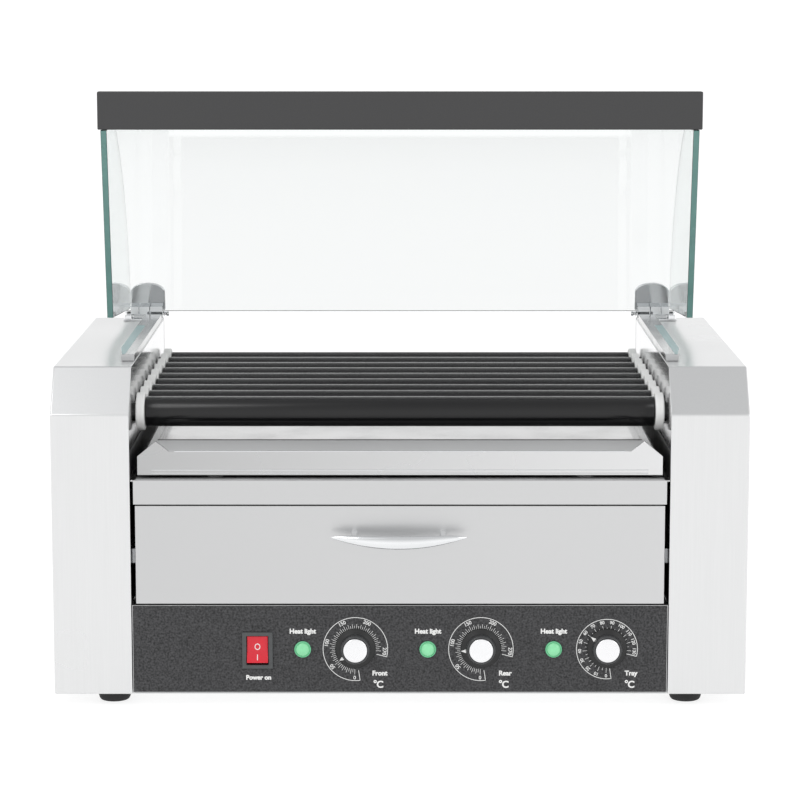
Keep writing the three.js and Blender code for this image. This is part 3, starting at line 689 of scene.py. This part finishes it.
# ---- drip tray and drawer ----
TRAY_BEND = 300 * MM        # edges longer than this are bends
TRAY_FACE_Y = 5.0           # front of the tray's wall
TRAY_FOOT_Z = 186.0
BEADS = [(1.7, 12), (4.3, 12), (20.0, 31)]      # height above the foot, inset of the ends
BEAD_R = 0.5
BEAD_DEPTH = 0.4            # into the wall
FLOOR_INSET = 4             # of the dark floor sheet, from the tray's sides
FLOOR_Y = (8.2, -2)         # its front, and its back from the tray's back
FLOOR_RISE = 1.2            # above the foot
LAYER = 0.2                 # thickness of a sheet laid over another
LIP_HALF = 203
LIP_FRONT = (5.6, 206.0)
LIP_BACK = (25, 212.1)
# a hem-shaped strip at the back of the lip, dark grey: painted shade of the gap behind the lip
HEM_W = 1.0
HEM_H = 2.0
HEM_DROP = 1.2              # of its underside below the lip
SILL_HALF = 220             # grey strip along the front of the deck: painted shade under the tray's plate
SILL_Y = (1.6, 13)
DECK_TOP_Z = 182.5
SHADE_STRIP_X = (224.1, 225.1)    # black strips that paint the shade in the gaps beside the tray
SHADE_STRIP_BACK_Y = 338
SHADE_STRIP_Z = (183, 207)


def add_tray():
    def folded(edge):
        a, b = (vert.co for vert in edge.verts)
        return abs(a.x - b.x) > TRAY_BEND

    refined("drip_tray", "drip_tray_sheet", "tray", "tray", "case_steel", 0.9, folded)
    low, high = extent("drip_tray")
    bm = bmesh.new()
    back = TRAY_FACE_Y + BEAD_DEPTH
    for height, inset in BEADS:
        z = TRAY_FOOT_Z + height
        bead = arc((TRAY_FACE_Y, z), BEAD_R, math.pi / 2, math.pi * 1.5, 10)
        bead += [(back, z - BEAD_R), (back, z + BEAD_R)]
        prism(bm, bead, "X", low.x + inset, high.x - inset)
    piece("drip_tray_beads", bm, "chrome", "tray", "case_steel")

    floor_z = TRAY_FOOT_Z + FLOOR_RISE
    floor = (low.x + FLOOR_INSET, high.x - FLOOR_INSET, FLOOR_Y[0], high.y + FLOOR_Y[1],
             floor_z, floor_z + LAYER)
    blocks("drip_tray_floor", [floor], "basin", "tray", "case_steel")
    bm = bmesh.new()
    lip = [LIP_FRONT, LIP_BACK, (LIP_BACK[0], LIP_BACK[1] + LAYER), (LIP_FRONT[0], LIP_FRONT[1] + LAYER)]
    prism(bm, lip, "X", -LIP_HALF, LIP_HALF)
    piece("drip_tray_lip", bm, "lip", "tray", "case_steel")
    # the hem's dark grey paints the shadow gap between the lip and the tray's inside
    hem_y, hem_z = LIP_BACK[0] - LAYER, LIP_BACK[1] - HEM_DROP
    hem = (-LIP_HALF, LIP_HALF, hem_y, hem_y + HEM_W, hem_z, hem_z + HEM_H)
    blocks("drip_tray_shade_hem", [hem], "trim", "tray", "case_steel", bevel=0.3)

    # grey sheet over the deck's front edge: painted shade under the tray's plate
    sill = (-SILL_HALF, SILL_HALF, *SILL_Y, DECK_TOP_Z, DECK_TOP_Z + LAYER)
    blocks("deck_sill", [sill], "sill", "housing", "case_steel")
    # black strips on the side walls below the tray's rim: painted shade in the gaps beside the tray
    strips = [(*sorted(sign * x for x in SHADE_STRIP_X), SILL_Y[0], SHADE_STRIP_BACK_Y, *SHADE_STRIP_Z)
              for _, sign in SIDES]
    blocks("tray_side_shade_strips", strips, "black", "housing", "black_plastic", bevel=0.2)


def add_drawer():
    refined("drawer_front", "drawer_face", "front", "drawer", "case_steel", 0.9)
    refined("drawer_box", "drawer_tub", "inside", "drawer", "case_steel", 0.35)
    add_handle()


HANDLE_TOP_Z = 140
HANDLE_R = 5.7
HANDLE_FLAT = 0.8           # front-to-back share of its height
HANDLE_TIP_Y = -17.0
HANDLE_TIP_DROP = 2.2
HANDLE_TAPER = 0.7          # lower is blunter
POST_X = 37
POST_DROP = 2.6             # of the posts' axis below the top
POST = [(-22, 0), (-22, 2.4), (-6, 2.6), (-1.2, 2.9), (-0.1, 3.2), (-0.1, 0)]


def add_handle():
    """A chrome bow: lens-shaped in front view, with its points drawn back to the drawer."""
    low, high = extent("drawer_handle")
    middle = (low.x + high.x) / 2
    half = (high.x - low.x) / 2
    crest_y = low.y + HANDLE_R * HANDLE_FLAT
    bm = bmesh.new()
    rings = []
    steps, sides = 72, 24
    for i in range(steps + 1):
        t = -math.cos(math.pi * i / steps)
        rise = 1 - t * t
        radius = HANDLE_R * rise ** HANDLE_TAPER
        x = middle + t * half
        y = HANDLE_TIP_Y + (crest_y - HANDLE_TIP_Y) * rise
        z = HANDLE_TOP_Z - radius - HANDLE_TIP_DROP * t ** 8
        if i in (0, steps):
            rings.append([bm.verts.new((x, y, z))] * sides)
            continue
        ring = []
        for k in range(sides):
            angle = 2 * math.pi * k / sides
            depth = radius * HANDLE_FLAT * math.cos(angle)
            ring.append(bm.verts.new((x, y + depth, z + radius * math.sin(angle))))
        rings.append(ring)
    skin(bm, rings)
    for _, sign in SIDES:
        lathe(bm, rounded(POST, 0.6), "Y", (middle + sign * POST_X, HANDLE_TOP_Z - POST_DROP), 32)
    piece("bow_handle", bm, "chrome", "drawer", "hinge_chrome", "drawer_handle", sharp=50)


# ---- control panel ----
DIAL_X = [-37.4, 67.8, 173.4]
DIAL_TOP = [270, 270, 130]          # highest number on each dial
DIAL_STEP = [50, 50, 10]            # between numbers
DIAL_TICK = 5                       # between ticks
DIAL_TEN = 10                       # ticks at whole tens are longer
DIAL_R = [27.3, 27.3, 25.8]         # outer printed line
DIAL_START = 181.5                  # zero of the scale, clockwise from straight up, in degrees
DIAL_SWEEP = 272.7
DIAL_MARGIN = 9.8                   # the printed line goes on past both ends of the scale
END_STROKE = 9.0                    # from the line inward, at both of its ends
TICK_FOOT = 10.2                    # ticks start this far inside the line
TICK_SHORT = 2.9
TICK_TEN = 4.3
TICK_LONG = 4.7                     # under a number
NUMBER_IN = 3.0                     # middle of the numbers, inside the line
NUMBER_SIZE = [4.4, 4.4, 3.9]
NUMBER_BOLD = 0.06
POINTERS = [232, 262, 306]          # at rest, clockwise from straight up
LAMP_X = [-81.5, 23.3, 128.7]
DIAL_Z = 39                         # middle of the scales and lamps
KNOB_Z = 40
PRINT_T = 0.05
LINE_W = 0.5
TICK_W = 0.32
WORDS = ("Front", "Rear", "Tray")
WORD_SIZE = 5.6
WORD_BOLD = 0.25
LAMP_WORD_BOLD = 0.24
WORD_AT = (20.4, -20.8)             # from the middle of the dial
UNIT_MARKS = [                      # letter, size, place from the middle of the dial, boldness
    ("°", 8.6, (16.6, -30.4), 0.22),
    ("C", 8.2, (20.6, -30.6), 0.24),
]
LAMP_WORD_Z = 15.2                  # above the lamps
POWER_WORD_SIZE = 5.3
POWER_WORD_AT = (0.8, -8.0)         # from the middle of the switch's lower edge


def dial_point(x, radius, degrees):
    angle = math.radians(degrees)
    return x + radius * math.sin(angle), DIAL_Z + radius * math.cos(angle)


def stroke(bm, x, degrees, inner, outer, width, face):
    """A radial line of a dial's scale."""
    a = Vector(dial_point(x, inner, degrees))
    b = Vector(dial_point(x, outer, degrees))
    side = Vector((b.y - a.y, a.x - b.x)).normalized() * width / 2
    prism(bm, [a - side, b - side, b + side, a + side], "Y", face - PRINT_T, face)


def add_text(bm, text, size, x, z, turn, face, bold=0.0):
    """Flat lettering centred on (x, z), turned clockwise by some degrees."""
    data = bpy.data.curves.new("text", "FONT")
    data.body = text
    data.size = size
    data.align_x = data.align_y = "CENTER"
    data.extrude = PRINT_T / 2
    data.offset = bold
    data.resolution_u = 4
    obj = bpy.data.objects.new("text", data)
    scene.collection.objects.link(obj)
    mesh = bpy.data.meshes.new_from_object(obj.evaluated_get(bpy.context.evaluated_depsgraph_get()))
    mesh.transform(Matrix.Translation((x, face - PRINT_T / 2, z))
                   @ Matrix.Rotation(math.radians(90), 4, "X")
                   @ Matrix.Rotation(math.radians(-turn), 4, "Z"))
    bm.from_mesh(mesh)
    bpy.data.objects.remove(obj)
    bpy.data.curves.remove(data)
    bpy.data.meshes.remove(mesh)


def add_dial_print(bm, index, face):
    x, outer = DIAL_X[index], DIAL_R[index]
    top, number_step = DIAL_TOP[index], DIAL_STEP[index]
    start, end = DIAL_START - DIAL_MARGIN, DIAL_START + DIAL_SWEEP + DIAL_MARGIN
    steps = 120
    line = []
    for radius, order in ((outer, 1), (outer - LINE_W, -1)):
        ring = [dial_point(x, radius, start + (end - start) * i / steps) for i in range(steps + 1)]
        line += ring[::order]
    for i in range(steps):
        j = 2 * steps + 1 - i
        prism(bm, [line[i], line[i + 1], line[j - 1], line[j]], "Y", face - PRINT_T, face)
    for degrees in (start, end):
        stroke(bm, x, degrees, outer - END_STROKE, outer, LINE_W, face)

    per_unit = DIAL_SWEEP / top
    foot = outer - TICK_FOOT
    for value in range(0, top + 1, DIAL_TICK):
        length = TICK_TEN if value % DIAL_TEN == 0 else TICK_SHORT
        if value % number_step == 0:
            length = TICK_LONG
        stroke(bm, x, DIAL_START + value * per_unit, foot, foot + length, TICK_W, face)
    numbers = list(range(0, top, number_step))
    if top - numbers[-1] < number_step / 2:
        numbers.pop()
    for number in numbers + [top]:
        degrees = DIAL_START + number * per_unit
        place = dial_point(x, outer - NUMBER_IN, degrees)
        add_text(bm, str(number), NUMBER_SIZE[index], *place, degrees, face, NUMBER_BOLD)


def add_overlay():
    refined("panel_overlay", "panel_face", "overlay", "housing", "overlay", 0.12)
    face = extent("panel_overlay")[0].y
    bm = bmesh.new()
    for index, x in enumerate(DIAL_X):
        add_dial_print(bm, index, face)
        for letter, size, (dx, dz), bold in UNIT_MARKS:
            add_text(bm, letter, size, x + dx, DIAL_Z + dz, 0, face, bold)
    for x in LAMP_X:
        add_text(bm, "Heat light", WORD_SIZE, x, DIAL_Z + LAMP_WORD_Z, 0, face, LAMP_WORD_BOLD)
    dx, dz = WORD_AT
    for x, word in zip(DIAL_X, WORDS):
        add_text(bm, word, WORD_SIZE, x + dx, DIAL_Z + dz, 0, face, WORD_BOLD)
    dx, dz = POWER_WORD_AT
    middle, = middle_of("switch_body", "x")
    bottom = extent("switch_body")[0].z
    add_text(bm, "Power on", POWER_WORD_SIZE, middle + dx, bottom + dz, 0, face, WORD_BOLD)
    piece("panel_print", bm, "print", "housing", "overlay")


STEM_R = 3
SKIRT_R = 16.8
SKIRT_BACK_Y = -1
SKIRT_FRONT_Y = -4.9
GRIP_R = 12.9
CAP_R = 10.0
POINTER_HALF = 1.6
POINTER_T = 1.0
POINTER_BACK_Y = -5.2       # at the grip
POINTER_TIP_Y = -2.9        # at the edge of the skirt


def add_knobs():
    for index, x in enumerate(DIAL_X):
        body = f"dial_{index + 1}"
        node = f"knob_{index + 1}"
        low, high = extent(node)
        front = low.y
        place = ("Y", (x, KNOB_Z), 80)
        skirt = [(high.y, 0), (high.y, STEM_R), (SKIRT_BACK_Y, STEM_R), (SKIRT_BACK_Y, SKIRT_R - 0.5),
                 (SKIRT_BACK_Y - 0.5, SKIRT_R), (SKIRT_BACK_Y - 1.3, SKIRT_R), (-3.0, SKIRT_R - 0.6),
                 (-3.9, SKIRT_R - 2.4), (SKIRT_FRONT_Y, GRIP_R + 0.1), (SKIRT_FRONT_Y, 0)]
        turned(f"{node}_skirt", rounded(skirt, 0.35, 3), *place, "skirt", body, "black_plastic", node)
        foot = SKIRT_FRONT_Y + 0.1
        grip = [(foot, 0), (foot, GRIP_R), (front + 2.4, GRIP_R - 0.6), (front + 1.0, GRIP_R - 1.5),
                (front + 0.9, CAP_R + 0.6), (front + 1.6, CAP_R + 0.2), (front + 1.6, 0)]
        turned(f"{node}_grip", rounded(grip, 0.35, 3), *place, "grip", body, "black_plastic")
        cap = [(front + 1.7, 0), (front + 1.7, CAP_R), (front + 0.5, CAP_R), (front + 0.15, CAP_R - 0.4),
               (front + 0.1, CAP_R - 1.0), (front + 0.35, CAP_R - 1.6), (front + 0.35, 0)]
        turned(f"{node}_cap", rounded(cap, 0.25, 3), *place, "cap", body, "polished_steel")

        angle = math.radians(POINTERS[index])
        out = Vector((math.sin(angle), math.cos(angle)))
        across = Vector((out.y, -out.x)) * POINTER_HALF
        middle = Vector((x, KNOB_Z))
        base = middle + out * GRIP_R
        corners = [(base + across, POINTER_BACK_Y), (base - across, POINTER_BACK_Y),
                   (middle + out * (SKIRT_R + 0.1), POINTER_TIP_Y)]
        bm = bmesh.new()
        capped(bm, *([bm.verts.new((p.x, y + depth, p.y)) for p, y in corners]
                     for depth in (0, POINTER_T)))
        piece(f"{node}_pointer", bm, "print", body, "ptfe")


LAMP_STEM_R = 5.4
LAMP_R = 7
LENS_R = 5.7
LENS_Y = -1.9


def add_lamps():
    for index, x in enumerate(LAMP_X):
        node = f"pilot_lamp_{index + 1}"
        low, high = extent(node)
        rim = [(high.y, 0), (high.y, LAMP_STEM_R + 1), (1.8, LAMP_STEM_R + 1), (1.8, LAMP_STEM_R),
               (-0.9, LAMP_STEM_R), (-0.9, LAMP_R), (-2.0, LAMP_R), (-2.6, LAMP_R - 0.5),
               (-2.6, LENS_R + 0.2), (-2.0, LENS_R), (-2.0, 0)]
        turned(f"{node}_rim", rounded(rim, 0.3, 3), "Y", (x, DIAL_Z), 56, "rim", "housing",
               "lamp_green", node)
        steps = 12
        angles = [math.pi / 2 * i / steps for i in range(steps)]
        dome = [(LENS_Y, 0)]
        dome += [(LENS_Y + (low.y - LENS_Y) * math.sin(a), LENS_R * math.cos(a)) for a in angles]
        dome.append((low.y, 0))
        turned(f"{node}_lens", dome, "Y", (x, DIAL_Z), 56, "lens", "housing", "lamp_green")


ROCKER_LEAN = 8
ROCKER_PIVOT_Y = 4
ROCKER_HALF_X = 8.85
ROCKER_HALF_Z = 11.2
ROCKER_DISH = 1.9           # the front's ends stand this far before its middle
ROCKER_SIDE_Y = 2.5 - ROCKER_PIVOT_Y
ROCKER_BACK_Y = 6 - ROCKER_PIVOT_Y
PATCH_Y = (-0.06, 0.3)      # printed marks lie from before the rocker's front to inside it
MARK_RADII = (2.35, 1.75)   # of the ring on the rocker
MARK_STRETCH = 1.15         # upward
MARK_Z = 2.3                # middle of the ring
BAR_HALF = 0.33             # of the bar on the rocker
BAR_Z = -8.9
BAR_STEP = 1.15
BAR_STEPS = 4


def rocker_front(z):
    """Depth of the rocker's dished front before it leans, relative to its pivot."""
    return -1 - ROCKER_PIVOT_Y - ROCKER_DISH * (z / ROCKER_HALF_Z) ** 2


def raised_patch(bm, quad):
    """A thin printed patch that follows the rocker's front."""
    capped(bm, *([bm.verts.new((x, rocker_front(z) + depth, z)) for x, z in quad]
                 for depth in PATCH_Y))


def add_switch():
    refined("switch_body", "switch_frame", "bezel", "housing", "black_plastic", 0.5)
    x, z = middle_of("switch_body", "xz")
    lean = (Matrix.Translation((x, ROCKER_PIVOT_Y, z))
            @ Matrix.Rotation(math.radians(-ROCKER_LEAN), 4, "X"))
    steps = 20
    outline = [(ROCKER_BACK_Y, -3), (ROCKER_BACK_Y, 3), (ROCKER_SIDE_Y, ROCKER_HALF_Z)]
    for i in range(steps + 1):
        height = ROCKER_HALF_Z * (1 - 2 * i / steps)
        outline.append((rocker_front(height), height))
    outline.append((ROCKER_SIDE_Y, -ROCKER_HALF_Z))
    bm = bmesh.new()
    prism(bm, outline, "X", -ROCKER_HALF_X, ROCKER_HALF_X)
    bm.transform(lean)
    piece("rocker_cap", bm, "red", "rocker", "red_plastic", "switch_rocker", bevel=0.45)

    bm = bmesh.new()
    steps = 40
    for i in range(steps):
        quad = []
        for radius, places in zip(MARK_RADII, ((i, i + 1), (i + 1, i))):
            for k in places:
                a = 2 * math.pi * k / steps
                quad.append((radius * math.cos(a), MARK_Z + MARK_STRETCH * radius * math.sin(a)))
        raised_patch(bm, quad)
    for i in range(BAR_STEPS):
        low, high = BAR_Z + i * BAR_STEP, BAR_Z + (i + 1) * BAR_STEP
        raised_patch(bm, [(-BAR_HALF, low), (BAR_HALF, low), (BAR_HALF, high), (-BAR_HALF, high)])
    bm.transform(lean)
    piece("rocker_marks", bm, "print", "rocker", "red_plastic")


# ---- hood ----
HOOD_R = 264.2              # outside of the bent pane
GLASS = 5
HOOD_LEAN = math.radians(9)
HOOD_FOOT = (366, 281)
HOOD_C = (HOOD_FOOT[0] - HOOD_R * math.cos(HOOD_LEAN), HOOD_FOOT[1] - HOOD_R * math.sin(HOOD_LEAN))
PANE_FRONT = (192.6, 294.8)
PANE_GAP = 0.3              # between the side panes and the pieces round them
PANE_START = 0.012          # radians above the foot of the bent pane
BAR_GAP = 0.3               # between the bent pane and the trim bar
EDGE_T = 0.12               # green strip on the slanted edge of a side pane
EDGE_SHORT = 0.6
EDGE_INSET = 0.3


def arc_at(radius, y):
    return math.acos((y - HOOD_C[0]) / radius)


def add_hood():
    bar_low, bar_high = extent("hood_trim_bar")
    end = bar_high.y + BAR_GAP
    low, high = extent("hood_glass")
    inner = HOOD_R - GLASS
    steps = 48
    bm = bmesh.new()
    outline = arc(HOOD_C, HOOD_R, HOOD_LEAN, arc_at(HOOD_R, end), steps)
    outline += arc(HOOD_C, inner, arc_at(inner, end), HOOD_LEAN, steps)
    prism(bm, outline, "X", low.x, high.x)
    piece("bent_glass", bm, "glass", "hood", "glass", "hood_glass", bevel=0.6, sharp=30)

    seat = inner - PANE_GAP
    top = bar_low.z - PANE_GAP
    side = [PANE_FRONT] + arc(HOOD_C, seat, HOOD_LEAN + PANE_START, arc_at(seat, end), steps)
    side += [(end, top), (bar_low.y + 1, top)]
    foot, head = Vector(PANE_FRONT), Vector(side[-1])
    out = Vector((foot.y - head.y, head.x - foot.x)).normalized() * EDGE_T
    along = (head - foot).normalized() * EDGE_SHORT
    foot, head = foot + along, head - along
    for name, _ in SIDES:
        node = f"{name}_hood_pane"
        low, high = extent(node)
        bm = bmesh.new()
        prism(bm, side, "X", low.x, high.x)
        piece(f"{name}_side_glass", bm, "glass", "hood", "glass", node, bevel=0.5, sharp=30)
        bm = bmesh.new()
        prism(bm, [foot, head, head + out, foot + out], "X", low.x + EDGE_INSET, high.x - EDGE_INSET)
        piece(f"{name}_glass_edge", bm, "edge", "hood", "glass")
    refined("hood_trim_bar", "trim_bar", "trim", "hood", "trim_grey", 1.0)


# ---- hinges, drawn on the right and mirrored to the left ----
LEAF_T = 2.2
LEAF_MID_Z = 296
LEAF_GAPS = (0.4, 0.9)      # between the bent pane and the plates behind and before it
LEAF_X = (223.3, 255.2)
LEAF_FOOT_Z = -18.5         # from the middle of the plate
LEAF_NECK_Z = -14
LEAF_SHOULDER = (1, 5)      # guides of the arched top: share of half the width, and height
LEAF_BEND = (0.8, 12.5)
LEAF_TOP = (0, 12.7)
HINGE_Y = 372
HINGE_Z = 277
KNUCKLE_X = (230, 254)
KNUCKLE_R = 3.6
KNUCKLE_BORE_R = 2.2
PIN_R = 1.9
PIN_HEAD_R = 2.8
PIN_X = (220.5, 222.8, 262.3)                               # head, its inner face, far end
LUGS_X = [(225, 229.5), (254.5, 261)]
CLAMP_BLOCKS_X = [(225.2, 236.8), (237.4, 247.0), (247.6, 255.2)]
CLAMP_BLOCK_Y = (351.5, 360.0)
CLAMP_BLOCK_Z = (278.2, 286.0)
BRIDGE_Y = (359.4, HINGE_Y - 2.5)
BRIDGE_Z = (276.2, 279.6)
SEAT_Z = 274.1              # on top of the side boxes
SEAT_T = 1.8
SEAT_Y = (338, 356.5)
LUG_FRONT_Y = 352
RAIL = [(225, 62), (236, 62), (240.7, 101), (240.7, 341), (225, 341)]
RAIL_TOP_Z = SEAT_Z + 5.7
# teal strip on the rail's top, from well before the side pane to under it: painted reflection of the
# pane's edge
REFLECTION_STRIP = [(233, 64), (235.6, 64), (240.1, 102), (240.1, 258), (233, 258)]


def leaf_outline():
    """D-shaped clamp plate: square foot, neck below it, and a low arched top."""
    middle = (LEAF_X[0] + LEAF_X[1]) / 2
    half = (LEAF_X[1] - LEAF_X[0]) / 2
    neck = (KNUCKLE_X[0] + 1, KNUCKLE_X[1] - 1)
    guides = (LEAF_SHOULDER, LEAF_BEND, LEAF_TOP)
    shoulder, bend, top = (Vector((share * half, z)) for share, z in guides)
    steps = 14
    curve = []
    for i in range(steps + 1):
        t = i / steps
        curve.append(shoulder.lerp(bend, t).lerp(bend.lerp(top, t), t))
    points = [(neck[0], LEAF_FOOT_Z), (neck[1], LEAF_FOOT_Z), (neck[1], LEAF_NECK_Z),
              (middle + half, LEAF_NECK_Z)]
    points += [(middle + p.x, p.y) for p in curve]
    points += [(middle - p.x, p.y) for p in curve[-2::-1]]
    points += [(middle - half, LEAF_NECK_Z), (neck[0], LEAF_NECK_Z)]
    return points


def add_plate(bm, rear, angle):
    """A clamp plate with its rear face at a given depth, leaning with the glass."""
    plate = bmesh.new()
    prism(plate, leaf_outline(), "Y", -LEAF_T, 0)
    plate.transform(Matrix.Translation((0, rear, LEAF_MID_Z)) @ Matrix.Rotation(angle, 4, "X"))
    mesh = bpy.data.meshes.new("plate")
    plate.to_mesh(mesh)
    plate.free()
    bm.from_mesh(mesh)
    bpy.data.meshes.remove(mesh)


def knuckle(bm, ends, bore):
    """A tube round the hinge line, or a rod where its bore is 0."""
    low, high = ends
    profile = [(low, bore), (low, KNUCKLE_R), (high, KNUCKLE_R), (high, bore)]
    lathe(bm, profile, "X", (HINGE_Y, HINGE_Z), 40)


def add_clamp(bm):
    """The moving half: two plates, a bridge to the knuckle and three small blocks."""
    angle = math.asin((LEAF_MID_Z - HOOD_C[1]) / HOOD_R)
    outside = HOOD_C[0] + HOOD_R * math.cos(angle)
    add_plate(bm, outside + LEAF_GAPS[0] + LEAF_T, angle)
    add_plate(bm, outside - GLASS - LEAF_GAPS[1], angle)
    block(bm, KNUCKLE_X[0] + 1, KNUCKLE_X[1] - 1, *BRIDGE_Y, *BRIDGE_Z)
    for ends in CLAMP_BLOCKS_X:
        block(bm, *ends, *CLAMP_BLOCK_Y, *CLAMP_BLOCK_Z)
    knuckle(bm, KNUCKLE_X, KNUCKLE_BORE_R)


def add_seat(bm):
    """The fixed half: a plate with two lugs, and the pin."""
    block(bm, LUGS_X[0][0], LUGS_X[1][1], *SEAT_Y, SEAT_Z, SEAT_Z + SEAT_T)
    for ends in LUGS_X:
        block(bm, *ends, LUG_FRONT_Y, HINGE_Y, SEAT_Z, HINGE_Z + 1)
        knuckle(bm, ends, 0)
    head, neck, tip = PIN_X
    pin = [(head, 0), (head, PIN_HEAD_R), (neck, PIN_HEAD_R), (neck, PIN_R), (tip, PIN_R), (tip, 0)]
    lathe(bm, pin, "X", (HINGE_Y, HINGE_Z), 32)


def add_rail(bm):
    prism(bm, RAIL, "Z", SEAT_Z, RAIL_TOP_Z)


# a thin teal strip laid on the rail: painted reflection of the side pane's green edge
def add_glass_rest(bm):
    prism(bm, REFLECTION_STRIP, "Z", RAIL_TOP_Z - 0.1, RAIL_TOP_Z + 0.2)


HINGE_PIECES = [        # shape, name, material, body, slot, replaced node, bevel
    (add_clamp, "hinge_clamp", "leaf", "hood", "hinge_chrome", "hinge_leaf", 0.45),
    (add_seat, "hinge_foot", "chrome", "housing", "hinge_chrome", "hinge_base", 0.35),
    (add_rail, "hinge_rail", "rail", "housing", "polished_steel", None, 0.3),
    (add_glass_rest, "painted_reflection", "reflection_teal", "housing", "ptfe", None, 0.0),
]


def add_hinges():
    for side, sign in SIDES:
        for shape, name, material, body, slot, node, bevel in HINGE_PIECES:
            bm = bmesh.new()
            shape(bm)
            bm.transform(Matrix.Scale(sign, 4, (1, 0, 0)))
            nodes = [f"{side}_{node}"] if node else []
            piece(f"{side}_{name}", bm, material, body, slot, *nodes, bevel=bevel)


add_housing()
add_rear_details()
add_rollers()
add_seals()
add_hidden_parts()
add_tray()
add_drawer()
add_overlay()
add_knobs()
add_lamps()
add_switch()
add_hood()
add_hinges()
